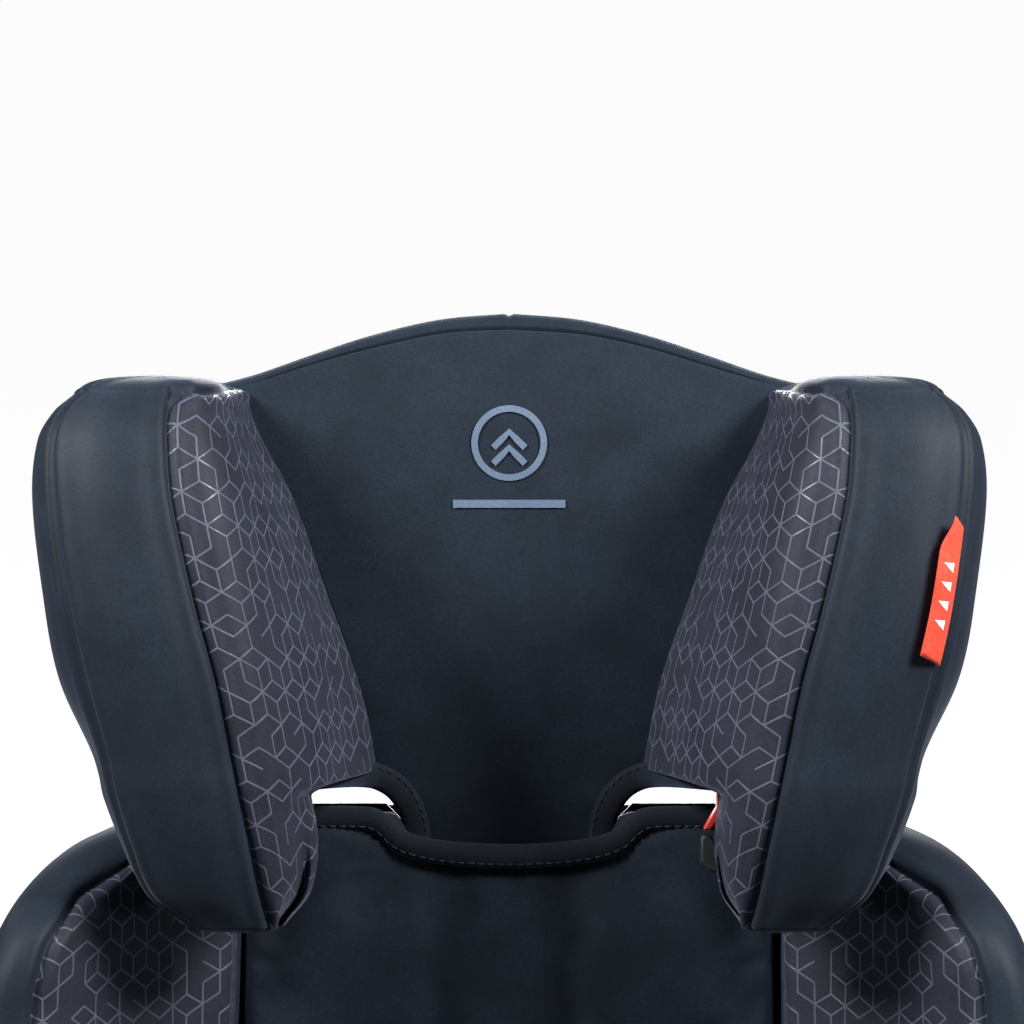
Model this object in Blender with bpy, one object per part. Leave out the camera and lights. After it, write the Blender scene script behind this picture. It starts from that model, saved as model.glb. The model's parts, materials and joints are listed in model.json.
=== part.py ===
"""High-back booster seat: seat base, reclining backrest and height-adjustable winged headrest.

Frame: metres, +Z up, the seat faces -Y, X runs across it.  The backrest and headrest are
drawn upright in the frame of the hinge axis, and their empty leans them back.
"""
import math

import bmesh
import bpy
from mathutils import Vector

# ---- overall layout ---------------------------------------------------------------------
CENTRE_Y = -0.00567               # moves the whole seat so its box is centred on the origin
HINGE_Y = 0.135                # hinge axis, behind the seat cushion
HINGE_Z = 0.095
LEAN = math.radians(8.0)       # the backrest's lean in its rest position
GAP = 0.0005                   # clearance between neighbouring pieces
WALL = 0.0035                  # moulded wall thickness

# ---- seat base --------------------------------------------------------------------------
PAN_HALF = 0.165
PAN_FRONT = -0.225
PAN_REAR = 0.150
PAN_TOP = 0.083
PAN_BOTTOM = 0.010
ARM_IN = 0.168
ARM_OUT = 0.218
ARM_TOP = 0.186
FOOT_R = 0.016
FOOT_H = 0.006

# ---- lower-anchor connectors ------------------------------------------------------------
ANCHOR_X = 0.140               # half of the 280 mm anchor spacing
ANCHOR_Z = 0.047
ANCHOR_HALF = 0.012

# ---- hinge ------------------------------------------------------------------------------
ROD_R = 0.005
LUG_R = 0.013

# ---- backrest ---------------------------------------------------------------------------
BACK_TOP = 0.385
BACK_BOTTOM = 0.030
CENTRE_HALF = 0.114            # half width of the plain centre panel
NOTCH_HALF = 0.047             # notch in the top edge for the headrest's neck
NOTCH_FLOOR = 0.356

# ---- headrest ---------------------------------------------------------------------------
STEP = 0.023                   # headrest height step
POSITIONS = 7
PAD = 0.011                    # padding thickness on the wings
MAST_HALF = 0.042
MAST_FRONT = -0.020
MAST_REAR = -0.014
MAST_BOTTOM = 0.150
PAWL_Z = 0.196

# widths and depths up the headrest, from the tips of the wings to their tops
HEAD_Z = (0.335, 0.348, 0.370, 0.397, 0.405, 0.436, 0.470, 0.510, 0.535, 0.549, 0.557)
SIDE_X = (0.136, 0.150, 0.160, 0.169, 0.171, 0.185, 0.192, 0.197, 0.195, 0.185, 0.172)
SEAM_X = (0.130, 0.145, 0.154, 0.162, 0.163, 0.172, 0.179, 0.185, 0.185, 0.177, 0.164)
BAND_X = (0.101, 0.100, 0.105, 0.110, 0.111, 0.118, 0.127, 0.136, 0.138, 0.138, 0.138)
RIDGE_X = (0.095, 0.088, 0.084, 0.086, 0.088, 0.097, 0.103, 0.112, 0.119, 0.122, 0.124)
CREASE_X = (0.092, 0.084, 0.079, 0.082, 0.058, 0.065, 0.077, 0.092, 0.105, 0.110, 0.112)
FRONT_Y = (-0.118, -0.127, -0.137, -0.144, -0.145, -0.150, -0.151, -0.147, -0.139, -0.131,
           -0.121)
CROWN_X = (0.0, 0.028, 0.057, 0.083, 0.099, 0.114, 0.149, 0.165, 0.178, 0.190)
CROWN_Z = (0.584, 0.582, 0.576, 0.567, 0.562, 0.559, 0.561, 0.558, 0.553, 0.543)

# widths and depths up the backrest, from its foot to its shoulders
WING_Z = (0.034, 0.085, 0.112, 0.137, 0.165, 0.200, 0.250, 0.300, 0.330, 0.350, 0.365, 0.376)
WING_HALF = (0.148, 0.152, 0.162, 0.182, 0.203, 0.217, 0.220, 0.220, 0.211, 0.199, 0.182,
             0.156)
WING_FRONT = (-0.058, -0.059, -0.064, -0.080, -0.108, -0.128, -0.136, -0.136, -0.128, -0.104,
              -0.082, -0.066)


# ---- small helpers ----------------------------------------------------------------------
def start_empty_scene():
    for ob in list(bpy.data.objects):
        bpy.data.objects.remove(ob, do_unlink=True)


def material(name, colour, roughness, metallic=0.0):
    mat = bpy.data.materials.new(name)
    mat.use_nodes = True
    shader = mat.node_tree.nodes["Principled BSDF"]
    shader.inputs["Base Color"].default_value = (*colour, 1.0)
    shader.inputs["Roughness"].default_value = roughness
    shader.inputs["Metallic"].default_value = metallic
    mat.diffuse_color = (*colour, 1.0)
    return mat


def empty(name, location=(0, 0, 0), parent=None, lean=0.0):
    ob = bpy.data.objects.new(name, None)
    bpy.context.collection.objects.link(ob)
    ob.location = location
    ob.rotation_euler.x = -lean
    ob.parent = parent
    return ob


def between(value, stations, numbers):
    """Straight-line value of numbers at a place between stations."""
    if value <= stations[0]:
        return numbers[0]
    for low in range(len(stations) - 1):
        if value <= stations[low + 1]:
            part = (value - stations[low]) / (stations[low + 1] - stations[low])
            return numbers[low] + part * (numbers[low + 1] - numbers[low])
    return numbers[-1]


def solid(name, verts, faces, mat, parent, origin=(0, 0, 0), bevel=0.0, segments=2, smooth=40):
    """One closed object from points and faces given in its parent's frame."""
    bm = bmesh.new()
    made = [bm.verts.new(Vector(v) - Vector(origin)) for v in verts]
    for face in faces:
        bm.faces.new([made[i] for i in face])
    bmesh.ops.recalc_face_normals(bm, faces=bm.faces)
    mesh = bpy.data.meshes.new(name)
    bm.to_mesh(mesh)
    bm.free()
    mesh.materials.append(mat)
    mesh.shade_smooth()
    mesh.set_sharp_from_angle(angle=math.radians(smooth))
    ob = bpy.data.objects.new(name, mesh)
    bpy.context.collection.objects.link(ob)
    ob.location = origin
    ob.parent = parent
    if bevel:
        edge = ob.modifiers.new("edges", "BEVEL")
        edge.width = bevel
        edge.segments = segments
        edge.limit_method = "ANGLE"
        edge.angle_limit = math.radians(50)
    return ob


def rings(name, loops, mat, parent, **settings):
    """A solid skinned over closed loops of equal length, its two ends capped."""
    count = len(loops[0])
    verts = [p for loop in loops for p in loop]
    faces = []
    for row in range(len(loops) - 1):
        for i in range(count):
            j = (i + 1) % count
            faces.append((row * count + i, row * count + j,
                          (row + 1) * count + j, (row + 1) * count + i))
    faces.append(tuple(range(count)))
    faces.append(tuple((len(loops) - 1) * count + i for i in range(count)))
    return solid(name, verts, faces, mat, parent, **settings)


def strip_rings(name, rows, mat, parent, **settings):
    """A skinned solid whose loops are long thin strips, with their ends capped by quads."""
    half = len(rows[0]) // 2
    count = 2 * half
    verts = [p for loop in rows for p in loop]
    faces = []
    for row in range(len(rows) - 1):
        for i in range(count):
            j = (i + 1) % count
            faces.append((row * count + i, row * count + j,
                          (row + 1) * count + j, (row + 1) * count + i))
    for row in (0, len(rows) - 1):
        for i in range(half - 1):
            first = row * count
            faces.append((first + i, first + i + 1,
                          first + count - 2 - i, first + count - 1 - i))
    return solid(name, verts, faces, mat, parent, **settings)


def block(name, low, high, mat, parent, bevel=0.0, **settings):
    """A box between two opposite corners."""
    (x0, y0, z0), (x1, y1, z1) = low, high
    loops = [[(x0, y0, z), (x1, y0, z), (x1, y1, z), (x0, y1, z)] for z in (z0, z1)]
    middle = ((x0 + x1) / 2, (y0 + y1) / 2, (z0 + z1) / 2)
    settings.setdefault("origin", middle)
    return rings(name, loops, mat, parent, bevel=bevel, **settings)


def plate(name, outline, along, low, high, mat, parent, **settings):
    """An outline pushed along X, Y or Z. It is read in (y, z), (x, z) or (x, y)."""
    def place(a, b, c):
        return {"X": (c, a, b), "Y": (a, c, b), "Z": (a, b, c)}[along]
    loops = [[place(a, b, c) for a, b in outline] for c in (low, high)]
    return rings(name, loops, mat, parent, **settings)


def disc(radius, centre=(0.0, 0.0), sides=24, start=0.0, turn=360.0):
    """Points around a circle, or along an arc of it."""
    steps = sides if turn >= 360 else sides + 1
    out = []
    for i in range(steps):
        angle = math.radians(start + turn * i / sides)
        out.append((centre[0] + radius * math.cos(angle), centre[1] + radius * math.sin(angle)))
    return out


def rounded(points, radius, sides=4):
    """A closed outline with its corners rounded."""
    out = []
    count = len(points)
    for i in range(count):
        here = Vector(points[i])
        back = (Vector(points[i - 1]) - here)
        ahead = (Vector(points[(i + 1) % count]) - here)
        reach = min(radius, back.length * 0.45, ahead.length * 0.45)
        a = here + back.normalized() * reach
        b = here + ahead.normalized() * reach
        for k in range(sides + 1):
            t = k / sides
            p = a * (1 - t) ** 2 + here * 2 * t * (1 - t) + b * t ** 2
            out.append((p.x, p.y))
    return out


def shifted(path, distance):
    """An open path moved sideways to its left by a distance, keeping its point count."""
    out = []
    for i, point in enumerate(path):
        before = Vector(path[max(i - 1, 0)])
        after = Vector(path[min(i + 1, len(path) - 1)])
        here = Vector(point)
        first = (here - before).normalized() if i else (after - here).normalized()
        last = (after - here).normalized() if i < len(path) - 1 else first
        tangent = (first + last).normalized()
        normal = Vector((-tangent.y, tangent.x))
        bend = max(0.6, normal.dot(Vector((-first.y, first.x))))
        out.append(tuple(here + normal * (distance / bend)))
    return out


def inset(outline, distance):
    """A closed outline moved inwards by a distance."""
    area = sum(outline[i - 1][0] * p[1] - p[0] * outline[i - 1][1]
               for i, p in enumerate(outline))
    sign = 1 if area > 0 else -1
    out = []
    count = len(outline)
    for i in range(count):
        here = Vector(outline[i])
        first = (here - Vector(outline[i - 1])).normalized()
        last = (Vector(outline[(i + 1) % count]) - here).normalized()
        tangent = (first + last).normalized()
        normal = Vector((-tangent.y, tangent.x)) * sign
        bend = max(0.5, normal.dot(Vector((-first.y, first.x)) * sign))
        out.append(tuple(here + normal * (distance / bend)))
    return out


def cut(target, cutter):
    """Subtracts a hidden guide shape from a piece."""
    cutter.hide_render = True
    cutter.display_type = "WIRE"
    cutter.name = "cut_" + cutter.name
    boolean = target.modifiers.new("opening", "BOOLEAN")
    boolean.object = cutter
    boolean.operation = "DIFFERENCE"
    return target


def side_name(name, side):
    return name + ("_R" if side > 0 else "_L")


def handed(points, side):
    return [(side * p[0],) + tuple(p[1:]) for p in points]


# ---- materials --------------------------------------------------------------------------
start_empty_scene()
BLACK_PLASTIC = material("black_plastic", (0.014, 0.015, 0.017), 0.45)
GREY_PLASTIC = material("grey_plastic", (0.055, 0.060, 0.070), 0.50)
RED_PLASTIC = material("red_plastic", (0.62, 0.045, 0.030), 0.40)
STEEL = material("zinc_steel", (0.60, 0.61, 0.62), 0.32, 1.0)
ALLOY = material("mast_alloy", (0.66, 0.67, 0.68), 0.36, 1.0)
RUBBER = material("rubber", (0.020, 0.020, 0.021), 0.85)
FOAM = material("moulded_foam", (0.80, 0.80, 0.78), 0.90)
NAVY_FABRIC = material("navy_fabric", (0.035, 0.048, 0.072), 0.85)
PRINT_FABRIC = material("printed_fabric", (0.050, 0.052, 0.066), 0.80)
RED_FABRIC = material("red_fabric", (0.75, 0.095, 0.060), 0.75)

# ---- the frames of the moving groups ----------------------------------------------------
seat = empty("seat_origin", (0, CENTRE_Y, 0))
hinge = empty("backrest_hinge", (0, HINGE_Y, HINGE_Z), seat, LEAN)
slide = empty("headrest_slide", (0, 0, 0), hinge)
grip = empty("handle_slide", (0, 0.010, 0.528), slide)
catch = empty("pawl_slide", (0, -0.006, PAWL_Z), slide)


# ---- seat base --------------------------------------------------------------------------
def pan_profile(margin, low):
    """Side outline of the seat pan: waterfall front edge, seat dipping towards the rear."""
    front = PAN_FRONT + margin
    rear = PAN_REAR - margin
    top = PAN_TOP - margin
    nose = [(front + 0.026 - (0.026 - margin) * math.cos(a), top - 0.024 + 0.024 * math.sin(a))
            for a in (math.radians(15 * k) for k in range(7))]
    return [(rear, low), (front, low)] + nose + [(0.02, top - 0.006), (rear, top - 0.003)]


def seat_base():
    pan = plate("base_shell", pan_profile(0.0, PAN_BOTTOM), "X", -PAN_HALF, PAN_HALF,
                GREY_PLASTIC, seat, bevel=0.004)
    hollow = plate("pan_hollow", pan_profile(WALL, PAN_BOTTOM - 0.01), "X",
                   -PAN_HALF + WALL, PAN_HALF - WALL, GREY_PLASTIC, seat)
    cut(pan, hollow)
    for side in (-1, 1):
        x = side * ANCHOR_X
        window = block(side_name("anchor_window", side),
                       (x - 0.0155, PAN_REAR - 0.02, ANCHOR_Z - 0.0155),
                       (x + 0.0155, PAN_REAR + 0.02, ANCHOR_Z + 0.0200), GREY_PLASTIC, seat)
        cut(pan, window)
    under = rounded([(-0.158, PAN_FRONT + 0.006), (0.158, PAN_FRONT + 0.006),
                     (0.158, PAN_REAR - 0.006), (-0.158, PAN_REAR - 0.006)], 0.02)
    plate("base_underside", under, "Z", FOOT_H + GAP, PAN_BOTTOM - GAP, BLACK_PLASTIC, seat)
    for name, x, y in (("foot_front_L", -0.135, -0.190), ("foot_front_R", 0.135, -0.190),
                       ("foot_rear_L", -0.135, 0.115), ("foot_rear_R", 0.135, 0.115)):
        plate(name, disc(FOOT_R, (x, y), 20), "Z", 0.0, FOOT_H, RUBBER, seat,
              origin=(x, y, 0), bevel=0.001, segments=1)


def cushion_section(x_part):
    """Front-to-back outline of the seat cushion, thinner towards its sides."""
    rise = 0.030 - 0.010 * abs(x_part) ** 3
    front = -0.216 + 0.006 * abs(x_part) ** 4
    floor = [(0.070, PAN_TOP - 0.0038), (0.02, PAN_TOP - 0.0052), (-0.10, PAN_TOP + 0.0015),
             (-0.190, PAN_TOP + 0.0035), (front, PAN_TOP + 0.0035)]
    roof = [(front - 0.002, PAN_TOP + 0.4 * rise), (front + 0.014, PAN_TOP + 0.85 * rise),
            (-0.150, PAN_TOP + rise + 0.003), (-0.06, PAN_TOP + rise - 0.003),
            (0.02, PAN_TOP + rise - 0.006), (0.058, PAN_TOP + rise - 0.006),
            (0.070, PAN_TOP + 0.4 * rise)]
    return floor + roof


def seat_cushion():
    half = PAN_HALF - 0.004
    parts = [-1.0, -0.9, -0.6, -0.2, 0.2, 0.6, 0.9, 1.0]
    loops = [[(part * half, y, z) for y, z in cushion_section(part)] for part in parts]
    rings("seat_cushion", loops, PRINT_FABRIC, seat)


def armrest(side):
    """Hollow arm with the lap belt's slot open to the rear, a pad and the belt hook."""
    outline = [(0.120, 0.014), (-0.212, 0.014), (-0.216, 0.090), (-0.205, 0.150),
               (-0.185, 0.178), (-0.150, ARM_TOP), (0.020, ARM_TOP), (0.050, 0.178),
               (0.056, 0.158), (0.045, 0.142), (-0.060, 0.136), (-0.078, 0.122),
               (-0.074, 0.102), (-0.050, 0.094), (0.120, 0.094)]
    low, high = sorted((side * ARM_IN, side * ARM_OUT))
    shell = plate(side_name("armrest_shell", side), rounded(outline, 0.010, 2), "X", low, high,
                  GREY_PLASTIC, seat, bevel=0.003, segments=2)
    inner = inset(rounded(outline, 0.010, 2), WALL)
    core = sorted((side * (ARM_IN - 0.010), side * (ARM_OUT - WALL)))
    cut(shell, plate(side_name("arm_hollow", side), inner, "X", core[0], core[1],
                     GREY_PLASTIC, seat))
    top = ARM_TOP + GAP
    sections = []
    for y, rise, grow in ((-0.158, 0.006, -0.004), (-0.150, 0.013, -0.001), (-0.12, 0.017, 0),
                          (-0.06, 0.018, 0), (-0.005, 0.016, 0), (0.010, 0.012, -0.001),
                          (0.016, 0.006, -0.004)):
        a, b = ARM_IN + 0.001 - grow, ARM_OUT - 0.001 + grow
        sections.append(handed([(a, y, top), (b, y, top), (b, y, top + 0.6 * rise),
                                (b - 0.010, y, top + rise), (a + 0.010, y, top + rise),
                                (a, y, top + 0.6 * rise)], side))
    rings(side_name("armrest_pad", side), sections, NAVY_FABRIC, seat)
    hook = [(0.100, 0.0945), (0.000, 0.0945), (0.000, 0.1005), (0.092, 0.1005),
            (0.098, 0.112), (0.104, 0.112), (0.106, 0.100)]
    low, high = sorted((side * (ARM_IN + 0.006), side * (ARM_OUT - 0.006)))
    plate(side_name("lap_belt_hook", side), hook, "X", low, high, RED_PLASTIC, seat,
          bevel=0.001, segments=1)


def hinge_parts():
    axis_y, axis_z = HINGE_Y, HINGE_Z
    for side in (-1, 1):
        arc = disc(LUG_R, (axis_y, axis_z), 16, 0, 180)
        outline = arc + [(axis_y - LUG_R - 0.003, PAN_TOP - 0.0025),
                         (axis_y + LUG_R, PAN_TOP - 0.0025)]
        low, high = sorted((side * 0.086, side * 0.097))
        lug = plate(side_name("hinge_lug", side), outline, "X", low, high, BLACK_PLASTIC, seat)
        bore = plate(side_name("lug_bore", side), disc(ROD_R + 0.0004, (axis_y, axis_z), 24),
                     "X", low - 0.005, high + 0.005, STEEL, seat)
        cut(lug, bore)
        arc = disc(LUG_R, (0, 0), 16, 180, 180)
        outline = arc + [(0.0140, 0.055), (0.0140, 0.088), (-0.0270, 0.088), (-0.0270, 0.055)]
        low, high = sorted((side * 0.0975, side * 0.109))
        hook = plate(side_name("hinge_hook", side), outline, "X", low, high, BLACK_PLASTIC,
                     hinge)
        bore = plate(side_name("hook_bore", side), disc(ROD_R + 0.0004, (0, 0), 24), "X",
                     low - 0.005, high + 0.005, STEEL, hinge)
        cut(hook, bore)
    plate("hinge_rod", disc(ROD_R, (axis_y, axis_z), 20), "X", -0.118, 0.118, STEEL, seat,
          origin=(0, axis_y, axis_z), bevel=0.0006, segments=1)


def anchor(side):
    """Rail, sliding arm, jaw and release button of one lower-anchor connector."""
    x = side * ANCHOR_X
    mid = ANCHOR_HALF
    u_shape = [(x - mid - 0.0025, ANCHOR_Z - 0.0105), (x + mid + 0.0025, ANCHOR_Z - 0.0105),
               (x + mid + 0.0025, ANCHOR_Z + 0.010), (x + mid + 0.0005, ANCHOR_Z + 0.010),
               (x + mid + 0.0005, ANCHOR_Z - 0.0085), (x - mid - 0.0005, ANCHOR_Z - 0.0085),
               (x - mid - 0.0005, ANCHOR_Z + 0.010), (x - mid - 0.0025, ANCHOR_Z + 0.010)]
    plate(side_name("anchor_rail", side), u_shape, "Y", -0.080, PAN_REAR - 0.006, STEEL, seat)
    runner = empty(side_name("anchor_slide", side), (x, PAN_REAR, ANCHOR_Z), seat)
    # the arm ends in a fork: a slot from the rear takes the car's anchor bar
    fork = [(-0.125, -0.008), (0.034, -0.008), (0.034, -0.0035), (0.013, -0.0035),
            (0.013, 0.0045), (0.006, 0.0045), (0.006, 0.008), (-0.125, 0.008)]
    plate(side_name("anchor_arm", side), fork, "X", -mid, mid, STEEL, runner,
          bevel=0.0006, segments=1)
    pivot = empty(side_name("jaw_pivot", side), (0, 0.0115, 0.0095), runner)
    jaw = disc(0.0035, (0, 0), 10, 20, 250) + [(0.010, -0.0035), (0.020, -0.0035),
                                               (0.0205, -0.0065), (0.0225, -0.0065),
                                               (0.0235, 0.001), (0.012, 0.003)]
    plate(side_name("anchor_jaw", side), jaw, "X", -0.0035, 0.0035, STEEL, pivot)
    button = empty(side_name("button_slide", side), (0, -0.010, 0.0110), runner)
    block(side_name("release_button", side), (-0.009, -0.010, -0.0025), (0.009, 0.010, 0.0035),
          RED_PLASTIC, button, bevel=0.001, segments=1, origin=(0, 0, 0))


# ---- backrest ---------------------------------------------------------------------------
def shell_path(half, end, rear, bulge=0.018):
    """Right half of a shell seen from above, from its middle to its front edge."""
    depth = rear - end
    return [(0.0, rear), (0.30 * half, rear), (0.56 * half, rear - 0.001),
            (0.76 * half, rear - 0.30 * bulge), (0.90 * half, rear - 1.0 * bulge),
            (0.965 * half, rear - max(0.30 * depth, 1.5 * bulge)),
            (1.0 * half, rear - 0.62 * depth), (0.995 * half, end)]


def both_halves(right):
    """A path from its left end, through the middle, to its right end."""
    left = [(-x, y) for x, y in reversed(right[1:])]
    return left + right


def wall_loop(path, thickness, height):
    """A wall's closed loop around a plan path; height is a number or a rule of x."""
    other = shifted(path, -thickness)
    rule = height if callable(height) else (lambda x: height)
    loop = [(x, y, rule(x)) for x, y in path]
    loop += [(x, y, rule(p[0])) for (x, y), p in zip(reversed(other), reversed(path))]
    return loop


def shell_half(z):
    """Half width of the backrest shell and how far forward its sides reach."""
    return between(z, WING_Z, WING_HALF) - 0.003, between(z, WING_Z, WING_FRONT) + 0.027


def backrest_shell():
    rows = []
    for z in WING_Z:
        half, end = shell_half(z)
        path = both_halves(shell_path(half, end, 0.025))
        rows.append(wall_loop([(-x, y) for x, y in path], -WALL, z))
    strip_rings("back_shell", rows, BLACK_PLASTIC, hinge)


def notched_outline(half, low, high, corner):
    """Front outline of the centre panel with the neck's notch in its top edge."""
    right = [(half, low), (half, high - corner), (half - corner, high),
             (NOTCH_HALF + 0.006, high), (NOTCH_HALF, high - 0.006),
             (NOTCH_HALF - 0.004, NOTCH_FLOOR + 0.010), (NOTCH_HALF - 0.016, NOTCH_FLOOR)]
    return right + [(-x, z) for x, z in reversed(right)]


def backrest_centre():
    panel = notched_outline(CENTRE_HALF, BACK_BOTTOM + 0.002, BACK_TOP - 0.005, 0.004)
    plate("back_panel", panel, "Y", -0.031, -0.028, BLACK_PLASTIC, hinge)
    pad = notched_outline(CENTRE_HALF - 0.0006, BACK_BOTTOM, BACK_TOP - 0.003, 0.006)
    plate("back_pad_center", pad, "Y", -0.054, -0.0315, NAVY_FABRIC, hinge, bevel=0.004)
    for side in (-1, 1):
        rail = [(0.0385, -0.0275), (0.050, -0.0275), (0.050, -0.0065), (0.0385, -0.0065),
                (0.0385, MAST_REAR + GAP), (MAST_HALF + GAP, MAST_REAR + GAP),
                (MAST_HALF + GAP, MAST_FRONT - GAP), (0.0385, MAST_FRONT - GAP)]
        plate(side_name("mast_rail", side), handed(rail, side), "Z", 0.120, 0.352,
              BLACK_PLASTIC, hinge)
    teeth = [(0.021, PAWL_Z - 0.020), (0.002, PAWL_Z - 0.020)]
    for step in range(POSITIONS):
        z = PAWL_Z + step * STEP
        teeth += [(0.002, z - 0.0065), (0.0075, z - 0.0050), (0.0075, z + 0.0050),
                  (0.002, z + 0.0065)]
    last = PAWL_Z + (POSITIONS - 1) * STEP
    teeth += [(0.002, last + 0.012), (0.021, last + 0.012)]
    plate("height_rack", teeth, "X", -0.010, 0.010, BLACK_PLASTIC, hinge)


def shoulder_cap(side):
    """Lid over the backrest's hollow on one side of the mast's slot."""
    half, end = shell_half(0.372)
    rear = shifted(shell_path(half, end, 0.025), -WALL - GAP)
    rear = [(x, y) for x, y in rear if 0.055 < x < 0.118]
    y_in = rear[0][1]
    outline = [(0.055, -0.0275), (0.1125, -0.0275), (0.120, 0.008)]
    outline += list(reversed(rear)) + [(0.055, y_in)]
    plate(side_name("back_top_cap", side), handed(outline, side), "Z", 0.3690, 0.3720,
          BLACK_PLASTIC, hinge)


def wing_skin(z):
    """Right backrest wing's padded face seen from above, from the centre panel outwards."""
    half = between(z, WING_Z, WING_HALF)
    front = between(z, WING_Z, WING_FRONT)
    seam = half - 0.026
    start = CENTRE_HALF + 0.0006
    run = seam - start
    drop = front + 0.053
    return [(start, -0.053), (start + 0.30 * run, -0.053 + 0.16 * drop),
            (start + 0.60 * run, -0.053 + 0.50 * drop), (start + 0.85 * run, -0.053 + 0.85 * drop),
            (seam, front + 0.003), (seam + 0.013, front), (half - 0.003, front + 0.008),
            (half, front + 0.024)]


def backrest_wing(side):
    rows = []
    for z in WING_Z:
        skin = wing_skin(z)
        loop = [(x, y, z) for x, y in skin]
        loop += [(x, y, z) for x, y in reversed(shifted(skin, PAD))]
        rows.append(handed(loop, side))
    strip_rings(side_name("back_wing_pad", side), rows, PRINT_FABRIC, hinge)
    rows = []
    for z in WING_Z[4:9]:
        face = shifted(wing_skin(z), PAD + 0.0015)[1:-1]
        half, end = shell_half(z)
        rear = shifted(shell_path(half, end, 0.025), -WALL - 0.002)
        rear = [(x, y) for x, y in rear[:-1] if x > CENTRE_HALF + 0.012]
        rear.append((half - 0.0115, end - 0.001))
        loop = [(x, y, z) for x, y in face] + [(x, y, z) for x, y in reversed(rear)]
        loop += [(CENTRE_HALF + 0.010, 0.012, z), (CENTRE_HALF + 0.008, -0.030, z)]
        rows.append(handed(loop, side))
    rings(side_name("back_wing_core", side), rows, FOAM, hinge)


# ---- headrest ---------------------------------------------------------------------------
def crown(x):
    return between(abs(x), CROWN_X, CROWN_Z)


def head_skin(z):
    """Right headrest wing's padded face seen from above, from the crease outwards."""
    side = between(z, HEAD_Z, SIDE_X)
    seam = between(z, HEAD_Z, SEAM_X)
    band = between(z, HEAD_Z, BAND_X)
    ridge = between(z, HEAD_Z, RIDGE_X)
    crease = between(z, HEAD_Z, CREASE_X)
    front = between(z, HEAD_Z, FRONT_Y)
    lobe = z < 0.400
    root = -0.098 if lobe else -0.046
    edge = 0.022 if lobe else 0.040
    wall = ridge - crease
    return [(crease, root), (crease + 0.30 * wall, root + 0.45 * (front + 0.020 - root)),
            (ridge, front + 0.020), (0.5 * (ridge + band) - 0.004, front + 0.005),
            (band, front), (0.5 * (band + seam), front - 0.003), (seam, front + 0.008),
            (side, front + edge)]


def headrest_wing(side):
    rows = []
    for z in HEAD_Z:
        skin = head_skin(z)
        thick = PAD if z > 0.34 else 0.007
        loop = [(x, y, z) for x, y in skin]
        loop += [(x, y, z) for x, y in reversed(shifted(skin, thick))]
        rows.append(handed(loop, side))
    strip_rings(side_name("headrest_wing_pad", side), rows, PRINT_FABRIC, slide)
    rows = []
    for z in HEAD_Z[2:9]:
        face = shifted(head_skin(z), PAD + 0.003)[1:-1]
        width = between(z, HEAD_Z, SIDE_X) - (0.004 if z > 0.53 else 0.0)
        if z < 0.400:
            last = face[-1]
            rear = [(last[0] + 0.002, -0.105), (last[0], -0.099), (0.5 * last[0] + 0.05, -0.0935),
                    (face[0][0] + 0.012, -0.0935), (face[0][0] + 0.004, -0.0935),
                    (face[0][0], -0.096)]
        else:
            start = between(z, HEAD_Z, CREASE_X)
            rear = [(width - 0.0145, -0.085), (width - 0.0130, -0.050), (width - 0.025, -0.020),
                    (width - 0.050, 0.004), (start + 0.020, 0.006), (start + 0.014, -0.020)]
        rows.append(handed([(x, y, z) for x, y in face + rear], side))
    rings(side_name("headrest_wing_core", side), rows, FOAM, slide)


def headrest_body():
    rows = []
    floor = 0.407
    ceiling = crown(0.170) - 0.010
    for level in (floor,) + HEAD_Z[5:9] + (ceiling,):
        part = (level - floor) / (ceiling - floor)
        half = between(level, HEAD_Z, SIDE_X) - 0.0080
        end = -0.092 + 0.018 * max(0.0, part - 0.7)
        path = both_halves(shell_path(half, end, 0.018, 0.014))
        rows.append(wall_loop([(-x, y) for x, y in path], -WALL,
                              lambda x, p=part: floor + p * (crown(x) - 0.010 - floor)))
    shell = strip_rings("headrest_shell", rows, BLACK_PLASTIC, slide)
    cut(shell, block("handle_window", (-0.049, 0.005, 0.506), (0.049, 0.030, 0.556),
                     BLACK_PLASTIC, slide))
    # front outline of the head pad: neck, binding edge, seams to the wings, crown
    right = [(0.022, 0.364), (0.036, 0.370), (0.041, 0.386), (0.040, 0.396), (0.050, 0.402)]
    for z in HEAD_Z[5:]:
        right.append((between(z, HEAD_Z, CREASE_X) - 0.0008, z))
    for x in (0.099, 0.083, 0.057, 0.028):
        right.append((x, crown(x) - 0.003))
    outline = right + [(0.0, crown(0) - 0.003)] + [(-x, z) for x, z in reversed(right)]
    plate("headrest_pad_center", outline, "Y", -0.044, -0.0215, NAVY_FABRIC, slide,
          bevel=0.003)
    spans = [0.100 * k / 8 for k in range(-8, 9)]
    roof = [(x, crown(x) - 0.003) for x in spans]
    roof += [(x, crown(x) - 0.014) for x in reversed(spans)]
    plate("headrest_crown_pad", roof, "Y", -0.0205, 0.0125, NAVY_FABRIC, slide)


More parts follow.
